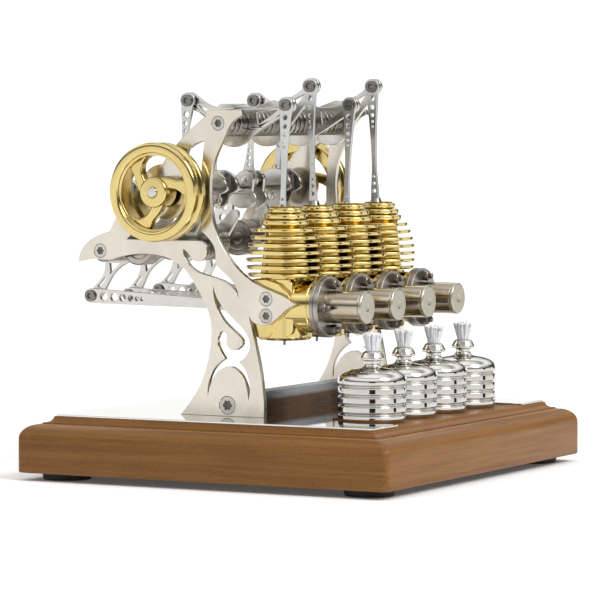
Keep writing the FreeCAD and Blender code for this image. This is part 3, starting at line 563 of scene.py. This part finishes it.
def soften(profile, radius, closed):
    """Rounds a profile's corners.  Points are (radius, height) or (radius, height, corner radius)."""
    count = len(profile)
    out = []
    for k, point in enumerate(profile):
        here = Vector(point[:2])
        r = point[2] if len(point) > 2 else radius
        if r <= 0 or (not closed and k in (0, count - 1)) or here.x < 1e-6:
            out.append(here)
            continue
        before = Vector(profile[k - 1][:2]) - here
        after = Vector(profile[(k + 1) % count][:2]) - here
        d = min(r, 0.42 * before.length, 0.42 * after.length)
        a, b = here + before.normalized() * d, here + after.normalized() * d
        for t in (0.0, 0.33, 0.67, 1.0):
            out.append(a * (1 - t) ** 2 + here * 2 * t * (1 - t) + b * t * t)
    return out


QUARTER = math.radians(90)
# turns local Z to the named direction
FACING = {"z": Matrix.Identity(4), "x": Matrix.Rotation(QUARTER, 4, "Y"),
          "y": Matrix.Rotation(-QUARTER, 4, "X"), "-y": Matrix.Rotation(QUARTER, 4, "X")}


TURNED_SHARP = 50                             # edges of turned parts above this many degrees stay hard


def take_mesh(work, name, sharp=None):
    """The smooth-shaded mesh of finished bmesh work, with edges above sharp degrees kept hard."""
    bmesh.ops.recalc_face_normals(work, faces=work.faces)
    mesh = bpy.data.meshes.new(name)
    work.to_mesh(mesh)
    work.free()
    mesh.shade_smooth()
    if sharp is not None:
        mesh.set_sharp_from_angle(angle=math.radians(sharp))
    return mesh


def pivot(axis, offset, angle):
    """Where a point at offset from an axis along Y stands once it has turned round it by angle."""
    c, s = math.cos(angle), math.sin(angle)
    return axis[0] + offset[0] * c - offset[1] * s, axis[1] + offset[0] * s + offset[1] * c


def lathe_mesh(name, profile, radius=0.25, segments=96, closed=True):
    """Turns a profile in mm about local Z."""
    points = soften(profile, radius, closed)
    work = bmesh.new()
    rings = []
    for p in points:
        if p.x < 1e-6:
            rings.append([work.verts.new((0, 0, p.y * MM))])
            continue
        ring = []
        for k in range(segments):
            a = 2 * math.pi * k / segments
            ring.append(work.verts.new((p.x * MM * math.cos(a), p.x * MM * math.sin(a), p.y * MM)))
        rings.append(ring)
    pairs = list(zip(rings, rings[1:]))
    if closed:
        pairs.append((rings[-1], rings[0]))
    for lower, upper in pairs:
        if len(lower) == 1 and len(upper) == 1:
            continue
        for k in range(segments):
            j = (k + 1) % segments
            if len(lower) == 1:
                work.faces.new((lower[0], upper[j], upper[k]))
            elif len(upper) == 1:
                work.faces.new((lower[k], lower[j], upper[0]))
            else:
                work.faces.new((lower[k], lower[j], upper[j], upper[k]))
    return take_mesh(work, name, TURNED_SHARP)


def turned_piece(name, node, finish, profile, centre, axis, radius=0.25, segments=96, closed=True):
    mesh = lathe_mesh(name, profile, radius, segments, closed)
    place = Matrix.Translation(Vector(centre) * MM) @ FACING[axis]
    obj = add_piece(name, mesh, node, finish, place)
    weigh_normals(obj)
    return obj


def trim(obj, half):
    """Cuts a turned piece flat at local Y = +-half mm."""
    work = bmesh.new()
    work.from_mesh(obj.data)
    for side in (-1, 1):
        everything = work.verts[:] + work.edges[:] + work.faces[:]
        cut = bmesh.ops.bisect_plane(work, geom=everything, plane_co=(0, side * half * MM, 0),
                                     plane_no=(0, side, 0), clear_outer=True)
        rim = [e for e in cut["geom_cut"] if isinstance(e, bmesh.types.BMEdge)]
        bmesh.ops.edgenet_fill(work, edges=rim)
    bmesh.ops.recalc_face_normals(work, faces=work.faces)
    work.to_mesh(obj.data)
    work.free()
    obj.data.shade_smooth()
    obj.data.set_sharp_from_angle(angle=math.radians(TURNED_SHARP))


# ---- wooden base, feet and mirror plate --------------------------------------------------------
def rounded_outline(half_x, half_y, corner, steps=7):
    """The points of a rounded rectangle, counter-clockwise."""
    ring = []
    corners = ((half_x, half_y, 0), (-half_x, half_y, 90), (-half_x, -half_y, 180), (half_x, -half_y, 270))
    for cx, cy, start in corners:
        ox = cx - math.copysign(corner, cx)
        oy = cy - math.copysign(corner, cy)
        for k in range(steps + 1):
            a = math.radians(start + 90.0 * k / steps)
            ring.append((ox + corner * math.cos(a), oy + corner * math.sin(a)))
    return ring


def base_profile():
    """(inset, z): a cove, a quirk, a round shoulder and the flat side, then the underside's edge."""
    arc = [math.radians(9 * k) for k in range(11)]
    cove = [(14.0 - 4.0 * (1 - math.cos(a)), BASE_TOP - 3.0 * math.sin(a)) for a in arc]
    shoulder = [(8.0 - 8.0 * math.sin(a), 21.0 + 7.2 * math.cos(a)) for a in arc]
    return cove + [(9.6, 29.0), (9.4, 28.5)] + shoulder + [(0.0, 12.0), (0.0, 4.6), (0.6, 4.0)]


def moulding_painted_light(band):
    """How pale one band of the moulding is: painted highlights on the lips, and painted shade in the quirk
    between them.
    """
    if band < 2:
        return 1.15
    if 9 <= band <= 11:
        return 0.72
    return 1.55 if 12 <= band <= 13 else 1.0


def build_wood():
    profile = base_profile()
    travel = [0.0]
    for a, b in zip(profile, profile[1:]):
        travel.append(travel[-1] + math.hypot(b[0] - a[0], b[1] - a[1]))
    work = bmesh.new()
    grain = work.loops.layers.uv.new("grain")
    painted_light_and_shade = work.loops.layers.float_color.new("painted_light_and_shade")
    rings, along = [], {}
    for (inset, z), t in zip(profile, travel):
        outline = rounded_outline(BASE_HALF_X - inset, BASE_HALF_Y - inset, max(0.4, 4.0 - inset * 0.25))
        rings.append([work.verts.new((x * MM, y * MM, z * MM)) for x, y in outline])
        along.update((vert, t * MM) for vert in rings[-1])
    for band, (upper, lower) in enumerate(zip(rings, rings[1:])):
        for i in range(len(upper)):
            j = (i + 1) % len(upper)
            face = work.faces.new((upper[i], upper[j], lower[j], lower[i]))
            middle = sum((v.co for v in face.verts), Vector()) / 4
            on_x_end = abs(middle.x) / (BASE_HALF_X * MM) > abs(middle.y) / (BASE_HALF_Y * MM)
            axis = 1 if on_x_end else 0
            # painted shade: faces towards -Y and +Y take 0.88, the +X end 0.98 and the -X end 1.0
            side = (0.98 if middle.x > 0 else 1.0) if on_x_end else 0.88
            shade = side * moulding_painted_light(band)
            # each side starts elsewhere in the wood, so that no figure repeats
            offset = 0.31 * (2 if on_x_end else 1) + (0.13 if middle[1 - axis] > 0 else 0)
            for loop in face.loops:
                loop[grain].uv = (loop.vert.co[axis] + offset, along[loop.vert])
                loop[painted_light_and_shade] = (shade, shade, shade, 1)
    # painted shade: the flat top takes 0.9 and the underside is much darker at 0.55
    for ring, shade in ((rings[0], 0.9), (list(reversed(rings[-1])), 0.55)):
        face = work.faces.new(ring)
        for loop in face.loops:
            loop[grain].uv = (loop.vert.co.y, loop.vert.co.x + 0.4)
            loop[painted_light_and_shade] = (shade, shade, shade, 1)
    add_piece("wood_base_moulded", take_mesh(work, "wood_base_moulded", 28), "wood_base", "wood_base")


def build_feet():
    profile = [(0, 0.25), (2.6, 0.25), (3.2, 0.0), (9.4, 0.0), (9.9, 0.35), (10.4, 0.0), (12.0, 0.0),
               (13.0, 4.0), (0, 4.0)]
    for k, (x, y) in enumerate(((-86, -96), (86, -96), (86, 96), (-86, 96))):
        turned_piece("foot_%d" % (k + 1), "rubber_feet", "rubber_feet", profile, (x, y, 0), "z", 0.5)


def build_plate():
    flat_piece("deck_plate", "top_plate", "top_plate", DECK - BASE_TOP, 0.15, Z, 1, DECK)


# ---- frames, shafts and block ------------------------------------------------------------------
def circle(x, z, r, count=56, start=0.0):
    """Points round (x, z) in the XZ plane, in metres; start in degrees."""
    return [Vector(((x + r * math.cos(a)) * MM, 0, (z + r * math.sin(a)) * MM))
            for a in (math.radians(start) + 2 * math.pi * k / count for k in range(count))]


SMALL_HEAD, FOOT_HEAD = 3.6, 4.6
FRAME_SCREWS = ((*ROCKER, SMALL_HEAD), (*LEVER, SMALL_HEAD), (14.6, 92.7, SMALL_HEAD),
                (14.6, 84.2, SMALL_HEAD), (-7.5, 38.5, FOOT_HEAD))
SPACER_BORE, RING_PITCH, GROOVE_DEPTH = 3.02, 4.8, 0.55
BLOCK_OUTLINE = [(-1.0, 77.0), (-1.0, 98.0), (-0.3, 99.6), (1.4, 101.2), (5.0, BLOCK_TOP),
                 (25.0, BLOCK_TOP), (27.0, 99.0), (27.0, 78.0), (26.4, 75.6), (24.4, 73.8), (21.0, 73.0),
                 (4.0, 73.0), (1.4, 73.8), (-0.3, 75.0)]


def countersunk_screw(name, x, z, side, r):
    """A flat head a hair below the frame's face, with a star recess, a floor dark with painted shade and a
    cone behind.
    """
    star = []
    for k in range(72):
        a = 2 * math.pi * k / 72
        lobe = r * (0.50 + 0.075 * math.cos(6 * a))
        star.append(Vector(((x + lobe * math.cos(a)) * MM, 0, (z + lobe * math.sin(a)) * MM)))
    face = FRAME_OUT - 0.1
    mesh = plate_mesh(name, [circle(x, z, r - 0.12), star], Y, side, side * face, 1.1, 0.2, 2)
    add_piece(name, mesh, "frame_screws", "screws")
    socket = circle(x, z, r * 0.62, 24)
    floor = plate_mesh(name + "_socket", [socket], Y, side, side * (face - 1.0), 0.4, 0.05, 1)
    add_piece(name + "_socket", floor, "frame_screws", "recess")
    shank = [(0, -1.2), (r - 0.9, -1.2), (1.9, -2.3), (1.9, -9.0), (0, -9.0)]
    turned_piece(name + "_shank", "frame_screws", "screws", shank, (x, side * FRAME_OUT, z),
                 "y" if side > 0 else "-y", 0.1, 40, False)


def build_frames():
    thick = FRAME_OUT - FRAME_IN
    flat_piece("frame_near_plate", "frame_near", "frame", thick, 0.28, Y, -1, -FRAME_OUT)
    flat_piece("frame_far_plate", "frame_far", "frame", thick, 0.28, Y, 1, FRAME_OUT)
    flat_piece("tie_bar_milled", "tie_bar", "tie_bar", 2 * FRAME_IN, 0.4, Y, -1, -FRAME_IN)
    for side, label in ((-1, "near"), (1, "far")):
        for k, (x, z, r) in enumerate(FRAME_SCREWS):
            countersunk_screw("screw_%s_%d" % (label, k + 1), x, z, side, r)
    keep_node("rocker_shaft", "shafts")
    keep_node("lever_shaft", "shafts")


def spacer_profile(length, radius):
    """A drum with shallow rounded rings, local Z from 0 to length."""
    floor = radius - GROOVE_DEPTH
    profile = [(SPACER_BORE, 0.0), (radius, 0.0, 0.3)]
    count = int(length / RING_PITCH)
    start = (length - (count - 1) * RING_PITCH) / 2
    for k in range(count):
        z = start + RING_PITCH * k
        profile += [(radius, z - 0.95, 0.3), (floor, z - 0.7, 0.12), (floor, z + 0.7, 0.12),
                    (radius, z + 0.95, 0.3)]
    profile += [(radius, length, 0.3), (SPACER_BORE, length)]
    return profile


def build_spacers():
    stacks = (("rocker", ROCKER, 6.8, CENTRE_Y, "spacers"), ("lever", LEVER, 6.0, LEVER_Y, "lower_spacers"))
    for label, (x, z), radius, plane, finish in stacks:
        edges = [-FRAME_IN]
        for y in ROWS:
            edges += [y + plane - 0.1, y + plane + LINK_T + 0.1]
        edges.append(FRAME_IN)
        for k in range(0, len(edges), 2):
            turned_piece("%s_spacer_%d" % (label, k // 2 + 1), "shaft_spacers", finish,
                         spacer_profile(edges[k + 1] - edges[k], radius), (x, edges[k], z), "y", 0.12)


def build_block():
    outline = [Vector((x * MM, 0, z * MM)) for x, z in reversed(BLOCK_OUTLINE)]
    mesh = plate_mesh("block_bar", [outline], Y, -1, -BLOCK_HALF_Y, 2 * BLOCK_HALF_Y, 0.5)
    add_piece("block_bar", mesh, "cylinder_block", "brass")
    for label, sign in (("near", -1), ("far", 1)):
        flat_piece("block_cheek_" + label, "cylinder_block", "brass", 3.0, 0.35, Y, sign, FRAME_IN * sign)
    column = [(0, 71.6), (12.6, 71.6, 0.4), (14.0, 73.0, 0.4), (14.0, 84.2), (14.0, 97.5, 0.8),
              (12.4, 100.0, 0.6), (12.0, BLOCK_TOP, 0.3), (0, BLOCK_TOP)]
    boss = [(0, 20.0), (13.4, 20.0), (13.4, 34.6, 0.3), (13.0, 35.0, 0.2), (13.4, 35.4, 0.2),
            (13.4, FLANGE_SEAT, 0.4), (0, FLANGE_SEAT)]
    for y, tag in zip(ROWS, TAGS):
        turned_piece("block_column" + tag, "cylinder_block", "turned_brass", column, (BORE_X, y, 0), "z",
                     closed=False)
        turned_piece("block_boss" + tag, "cylinder_block", "turned_brass", boss, (0, y, HOT_Z), "x",
                     closed=False)


# ---- cylinders ---------------------------------------------------------------------------------
FIN_RADII = [18.8, 19.4, 19.5, 19.3, 18.5, 17.2, 15.5]
DOME_RIBS = [(129.3, 131.7, 12.2), (132.4, 134.8, 10.7), (135.5, 137.9, 8.8)]  # (foot, top, radius)
CYLINDER_TOP = 138.6
FIN_HALF_Y = 17.3                             # neighbouring cylinders' fins are cut flat here


def power_cylinder_profile():
    side = [(12.2, BLOCK_TOP, 0.1)]
    for k, r in enumerate(FIN_RADII):
        z = 104.3 + 3.75 * k
        root = 12.2 - 0.42 * k
        side += [(root, z - 1.0, 0.3), (r - 0.3, z - 0.85, 0.3), (r, z - 0.5, 0.35), (r, z + 0.5, 0.35),
                 (r - 0.3, z + 0.85, 0.3), (root, z + 1.0, 0.3)]
    for z0, z1, r in DOME_RIBS:
        side += [(r - 1.7, z0 - 0.3, 0.2), (r - 0.4, z0, 0.4), (r, z0 + 0.5, 0.5), (r, z1 - 0.5, 0.5),
                 (r - 0.4, z1, 0.4), (r - 1.7, z1 + 0.3, 0.2)]
    return side + [(BORE_R + 0.7, CYLINDER_TOP, 0.25), (BORE_R, CYLINDER_TOP, 0.15),
                   (BORE_R, BLOCK_TOP, 0.1)]


def build_power_cylinders():
    for y, tag in zip(ROWS, TAGS):
        barrel = turned_piece("finned_barrel" + tag, "power_cylinder" + tag, "turned_brass",
                              power_cylinder_profile(), (BORE_X, y, 0), "z", segments=128)
        trim(barrel, FIN_HALF_Y)


def build_hot_cylinders():
    seat, joint, front = FLANGE_SEAT, 39.8, 42.4
    flange = [(8.0, seat), (15.4, seat, 0.3), (15.4, joint - 0.3, 0.2), (14.9, joint - 0.2, 0.05),
              (14.9, joint + 0.2, 0.05), (15.4, joint + 0.3, 0.2), (15.4, front, 0.45), (9.4, front, 0.2),
              (9.2, front - 0.3, 0.1), (8.0, front - 0.3)]
    tube = [(7.0, 37.7), (8.1, 37.7), (8.1, front + 0.2, 0.2), (8.2, front + 1.2, 0.4), (8.2, 52.0),
            (8.2, 61.0, 0.2), (7.9, 61.15, 0.1), (0, 61.2)]
    cap = [(0, 61.2), (7.9, 61.2, 0.1), (8.2, 61.35, 0.15), (8.2, 62.5, 0.3), (7.6, 63.0, 0.4),
           (2.0, 63.0, 0.3), (1.4, 62.75, 0.2), (0, 62.75)]
    nut = [(0, 0), (2.7, 0), (2.7, 2.9, 0.15), (2.3, 3.4, 0.1), (1.5, 3.4, 0.05), (1.5, 5.0, 0.1),
           (1.2, 5.4, 0.1), (0, 5.4)]
    pin = [(0, 69.0), (0.55, 69.0), (0.7, 69.3), (0.7, 71.6), (0, 71.6)]
    c = BOLT_CIRCLE
    for y, tag in zip(ROWS, TAGS):
        node, centre = "hot_cylinder" + tag, (0, y, HOT_Z)
        turned_piece("hot_flange" + tag, node, "flange", flange, centre, "x")
        turned_piece("hot_tube" + tag, node, "hot", tube, centre, "x", closed=False)
        turned_piece("hot_cap" + tag, node, "hot_cap", cap, centre, "x", closed=False)
        for k, (dy, dz) in enumerate(((c, 0), (-c, 0), (0, c), (0, -c))):
            bolt = turned_piece("flange_bolt%s_%d" % (tag, k + 1), "cylinder_bolts", "bolts", nut,
                                (front, y + dy, HOT_Z + dz), "x", 0.15, 6, False)
            bolt.matrix_world = bolt.matrix_world @ Matrix.Rotation(math.radians(15 * (k + 1)), 4, "Z")
        turned_piece("drain_pin" + tag, "cylinder_bolts", "bolts", pin, (BORE_X + 2.0, y - 4.0, 0), "z",
                     0.1, 24, False)


# ---- burners and wicks -------------------------------------------------------------------------
def burner_profile():
    r = 17.3
    side = [(r - 1.2, BASE_TOP, 0.3), (r - 0.2, 33.6, 0.5)]
    for k in range(4):
        z = 35.6 + 4.6 * k
        side += [(r - 0.2, z, 0.5), (r - 1.1, z + 0.5, 0.3), (r - 1.1, z + 1.1, 0.3), (r, z + 1.6, 0.5)]
    shoulder = [(r, 53.0, 0.6), (r - 0.7, 55.0, 0.8), (r - 3.0, 56.8, 1.1), (r - 7.0, 58.2, 1.4),
                (4.9, 59.0, 0.9), (3.9, 60.5, 0.5), (3.9, 62.4, 0.2), (6.1, 62.9, 0.2), (6.1, 64.0, 0.3),
                (4.6, 66.8, 0.5), (3.2, 67.4, 0.2), (3.2, 40.0, 0.1), (0, 40.0)]
    return [(0, BASE_TOP)] + side + shoulder


def build_burners():
    for y, tag in zip(ROWS, TAGS):
        turned_piece("burner_barrel" + tag, "burner" + tag, "burner", burner_profile(), (BURNER_X, y, 0),
                     "z", closed=False, segments=144)


CORD_R, CORD_SIDES = 0.50, 9
# (height, share of the full flare) up each cord; its two last levels are its own
CORD_LEVELS = [(44.0, 0), (60.0, 0), (66.6, 0.02), (69.0, 0.2), (71.2, 0.45), (73.2, 0.72), (75.0, 0.92)]


def build_wicks():
    """Bundles of twisted cords that splay above the collar."""
    chance = random.Random(7)
    for y, tag in zip(ROWS, TAGS):
        work = bmesh.new()
        places = [(0.0, 0.0)]
        for radius, count in ((1.0, 6), (1.85, 12), (2.55, 17)):
            places += [(radius, 2 * math.pi * (k + 0.37 * radius) / count) for k in range(count)]
        for radius, angle in places:
            spread = 1.0 + 0.68 * (0.80 + 0.4 * chance.random())
            top = 76.0 - 0.10 * radius * radius + 0.9 * chance.random()
            swirl = 0.5 * (chance.random() - 0.5)
            levels = CORD_LEVELS + [(top - 0.5, 1.0), (top, 1.0)]
            rings = []
            for z, flare in levels:
                r = radius * (1 + (spread - 1) * flare)
                a = angle + swirl * flare + 0.02 * math.sin(z)
                wide = CORD_R * (1 + 0.75 * flare) * (0.5 if z == top else 1.0)
                cx, cy = r * math.cos(a), r * math.sin(a)
                ring = []
                for k in range(CORD_SIDES):
                    b = 2 * math.pi * k / CORD_SIDES + z * 0.25
                    w = wide * (1 + 0.16 * math.sin(3 * b + z))
                    ring.append(work.verts.new(((cx + w * math.cos(b)) * MM, (cy + w * math.sin(b)) * MM,
                                                z * MM)))
                rings.append(ring)
            for low, high in zip(rings, rings[1:]):
                for k in range(CORD_SIDES):
                    j = (k + 1) % CORD_SIDES
                    work.faces.new((low[k], low[j], high[j], high[k]))
            work.faces.new(rings[-1])
            work.faces.new(list(reversed(rings[0])))
        add_piece("wick_cords" + tag, take_mesh(work, "wick_cords" + tag), "wicks", "wick",
                  Matrix.Translation((BURNER_X * MM, y * MM, 0)))


# ---- crankshaft and flywheels ------------------------------------------------------------------
WHEEL_R, WHEEL_BORE, WHEEL_W = 25.1, 18.6, 11.6
WHEEL_OUT = 84.2                              # the flywheels' outer faces


def polar(r, degrees):
    a = math.radians(degrees)
    return (r * math.cos(a), r * math.sin(a))


# a curved spoke's outline from the wheel's axis: its leading edge outwards, then its trailing edge back
SPOKE = [polar(6.0, 88), polar(8.4, 66), polar(10.9, 45), polar(14.2, 29), polar(19.0, 18),
         polar(19.0, -13), polar(17.2, -8), polar(15.8, -1), polar(12.0, 9), polar(6.2, 24)]


def build_flywheels():
    y_in, y_out = WHEEL_OUT - WHEEL_W, WHEEL_OUT
    face = [(WHEEL_R - 2.4 * t * t, y_out - 1.6 * (1 - t) ** 2, 0)
            for t in (0, 0.14, 0.28, 0.45, 0.62, 0.8, 1)]
    rim = [(WHEEL_BORE, y_in, 0.4), (WHEEL_R - 0.8, y_in, 0.4), (WHEEL_R, y_in + 0.8, 0.4),
           (WHEEL_R, y_in + 3.2, 0.6), (WHEEL_R - 2.6, y_in + 4.4, 0.5), (WHEEL_R - 2.6, y_out - 5.4, 0.5),
           (WHEEL_R, y_out - 4.2, 0.6)]
    inner = [(WHEEL_R - 4.0, y_out, 0.5), (WHEEL_R - 5.0, y_out - 0.5, 0.3),
             (WHEEL_R - 5.3, y_out - 1.4, 0.3), (WHEEL_BORE + 0.2, y_out - 1.6, 0.3),
             (WHEEL_BORE, y_out - 2.2, 0.3)]
    hub = [(SHAFT_R, y_in), (7.9, y_in, 0.4), (7.9, y_out - 1.8, 0.6), (7.2, y_out - 0.9, 0.6),
           (SHAFT_R + 0.5, y_out - 0.7, 0.3), (SHAFT_R, y_out - 0.9, 0.1)]
    for label, axis, side in (("near", "-y", -1), ("far", "y", 1)):
        node = "flywheel_" + label
        place = (CRANK[0], 0, CRANK[1])
        turned_piece("rim_" + label, node, "turned_brass", rim + face + inner, place, axis, segments=160)
        turned_piece("hub_" + label, node, "turned_brass", hub, place, axis, 0.2)
        for k in range(3):
            moved = [pivot(CRANK, point, math.radians(120 * k - 2)) for point in SPOKE]
            ring = smooth_ring([Vector((x * MM, 0, z * MM)) for x, z in moved], 5)
            name = "spoke_%s_%d" % (label, k + 1)
            mesh = plate_mesh(name, [ring], Y, side, side * (y_out - 2.6), 5.6, 1.1, 4)
            add_piece(name, mesh, node, "brass")


def smooth_ring(ring, split):
    """A closed outline resampled through a smooth curve."""
    out = []
    count = len(ring)
    for k in range(count):
        a, b, c, d = (ring[(k + j) % count] for j in (-1, 0, 1, 2))
        for step in range(split):
            t = step / split
            out.append(0.5 * ((2 * b) + (c - a) * t + (2 * a - 5 * b + 4 * c - d) * t * t
                              + (3 * b - a - 3 * c + d) * t ** 3))
    return out


def build_crankshaft():
    journal = []
    for k, (y, tag) in enumerate(zip(ROWS, TAGS)):
        px, pz = pivot(CRANK, (THROW, 0.0), THROW_START + (math.pi if k % 2 else 0))
        for label, level in (("a", y - 7.5), ("b", y + 4.4)):
            flat_piece("web_%s%s" % (label, tag), "crankshaft", "crank", 2.6, 0.45, Y, -1, level, 4, True)
        pin = [(0, 0), (1.9, 0, 0.1), (2.3, 0.4, 0.15), (2.3, 14.9, 0.15), (1.9, 15.3, 0.1), (0, 15.3)]
        turned_piece("crank_pin" + tag, "crankshaft", "crank", pin, (px, y - 7.9, pz), "y", 0.1, 48, False)
        journal += [y - 7.5, y + 7.0]
    edges = [-SHAFT_END] + journal + [SHAFT_END]
    for k in range(0, len(edges), 2):
        # each journal runs half a millimetre into the webs beside it
        low = edges[k] - (0.5 if k > 0 else 0.0)
        high = edges[k + 1] + (0.5 if k + 2 < len(edges) else 0.0)
        length = high - low
        shaft = [(0, 0), (SHAFT_R - 0.4, 0, 0.1), (SHAFT_R, 0.4, 0.1), (SHAFT_R, length - 0.4, 0.1),
                 (SHAFT_R - 0.4, length, 0.1), (0, length)]
        turned_piece("journal_%d" % (k // 2 + 1), "crankshaft", "crank", shaft, (CRANK[0], low, CRANK[1]),
                     "y", 0.1, 64, False)


# ---- linkage -----------------------------------------------------------------------------------
def pivot_screw(name, node, x, z, head_y, end_y):
    """A pan-head screw lying along +Y, with a hexagon socket in its head."""
    outline = [circle(x, z, 3.0), circle(x, z, 1.55, 6, 12)]
    mesh = plate_mesh(name + "_head", outline, Y, -1, head_y, 1.4, 0.22, 3)
    add_piece(name + "_head", mesh, node, "pivots")
    # the socket's floor is dark with painted shade
    floor = plate_mesh(name + "_socket", [circle(x, z, 1.7, 24)], Y, -1, head_y + 0.95, 0.3, 0.05, 1)
    add_piece(name + "_socket", floor, node, "recess")
    length = end_y - head_y
    shank = [(0, 0.9), (1.5, 0.9), (1.5, length - 0.3, 0.1), (1.2, length, 0.1), (0, length)]
    turned_piece(name + "_shank", node, "pivots", shank, (x, head_y, z), "y", 0.1, 40, False)


def build_linkage():
    for k, (y, tag) in enumerate(zip(ROWS, TAGS)):
        swing, lean = (ROCKER_SWING, LEVER_SWING) if k % 2 else (0.0, 0.0)
        rod, centre, lever = y + ROD_Y, y + CENTRE_Y, y + LEVER_Y
        bar = centre + 0.1
        for piece, node, finish, thickness, bevel, level in (
                ("rocker_plate", "rocker", "links", LINK_T, 0.28, centre),
                ("power_rod_bar", "power_rod", "rods", ROD_T, 0.25, rod),
                ("con_rod_bar", "con_rod", "rods", ROD_T, 0.25, rod),
                ("lever_plate", "lever", "links", LINK_T, 0.28, lever),
                ("displacer_rod_bar", "displacer_con_rod", "links", LINK_T, 0.25, bar),
                ("link_bar_plate", "link_bar", "links", LINK_T, 0.25, bar)):
            flat_piece(piece + tag, node + tag, finish, thickness, bevel, Y, -1, level)
        x, z = pivot(ROCKER, ROCKER_RIGHT, swing)
        pivot_screw("power_screw" + tag, "power_rod" + tag, x, z, rod - 1.4, centre + 4.2)
        x, z = pivot(ROCKER, ROCKER_LEFT, swing)
        pivot_screw("con_screw" + tag, "con_rod" + tag, x, z, rod - 1.4, rod + 2.1)
        x, z = pivot(LEVER, LEVER_TOP, lean)
        pivot_screw("lever_screw" + tag, "displacer_con_rod" + tag, x, z, centre - 1.3, centre + 2.6)
        x, z = pivot(LEVER, LEVER_LOW, lean)
        pivot_screw("link_screw" + tag, "link_bar" + tag, x, z, centre - 1.3, lever + 3.6)
        shift = x - pivot(LEVER, LEVER_LOW, 0.0)[0]
        pin = [(0, -0.6), (1.2, -0.6), (1.5, -0.3), (1.5, 6.5), (1.2, 6.8), (0, 6.8)]
        turned_piece("link_pin" + tag, "link_bar" + tag, "pivots", pin,
                     (DISPLACER_EYE_X + shift, bar, HOT_Z), "y", 0.1, 40, False)
        build_drum(y, tag, lean)
        keep_node("piston" + tag, "piston")
        keep_node("displacer_rod" + tag, "rods")


def build_drum(y, tag, lean):
    """The lever's ribbed balance drum, with the boss that holds it."""
    x, z = pivot(LEVER, LEVER_DRUM, lean)
    profile = [(0, 0), (9.6, 0, 0.3)]
    for n in range(5):
        g = 1.0 + 2.0 * n
        profile += [(9.6, g - 0.45, 0.25), (9.0, g - 0.3, 0.15), (9.0, g + 0.3, 0.15),
                    (9.6, g + 0.45, 0.25)]
    profile += [(9.6, 10.0, 0.3), (6.4, 10.0, 0.2), (6.1, 9.7, 0.2), (3.0, 9.7, 0.2), (2.8, 9.9, 0.1),
                (0, 9.9)]
    place = (x, y + LEVER_Y, z)
    turned_piece("lever_drum" + tag, "lever" + tag, "drum", profile, place, "-y", 0.15, 80, False)
    boss = [(0, 0), (2.0, 0), (2.0, LINK_T, 0.1), (0, LINK_T)]
    turned_piece("drum_boss" + tag, "lever" + tag, "pivots", boss, place, "y", 0.1, 40, False)


make_camera()
make_world()
make_stage()
sun("key", 80, 42, 1.5, 30)
build_wood()
build_feet()
build_plate()
build_frames()
build_spacers()
build_block()
build_power_cylinders()
build_hot_cylinders()
build_burners()
build_wicks()
build_flywheels()
build_crankshaft()
build_linkage()

bpy.context.scene.view_settings.view_transform = "Standard"
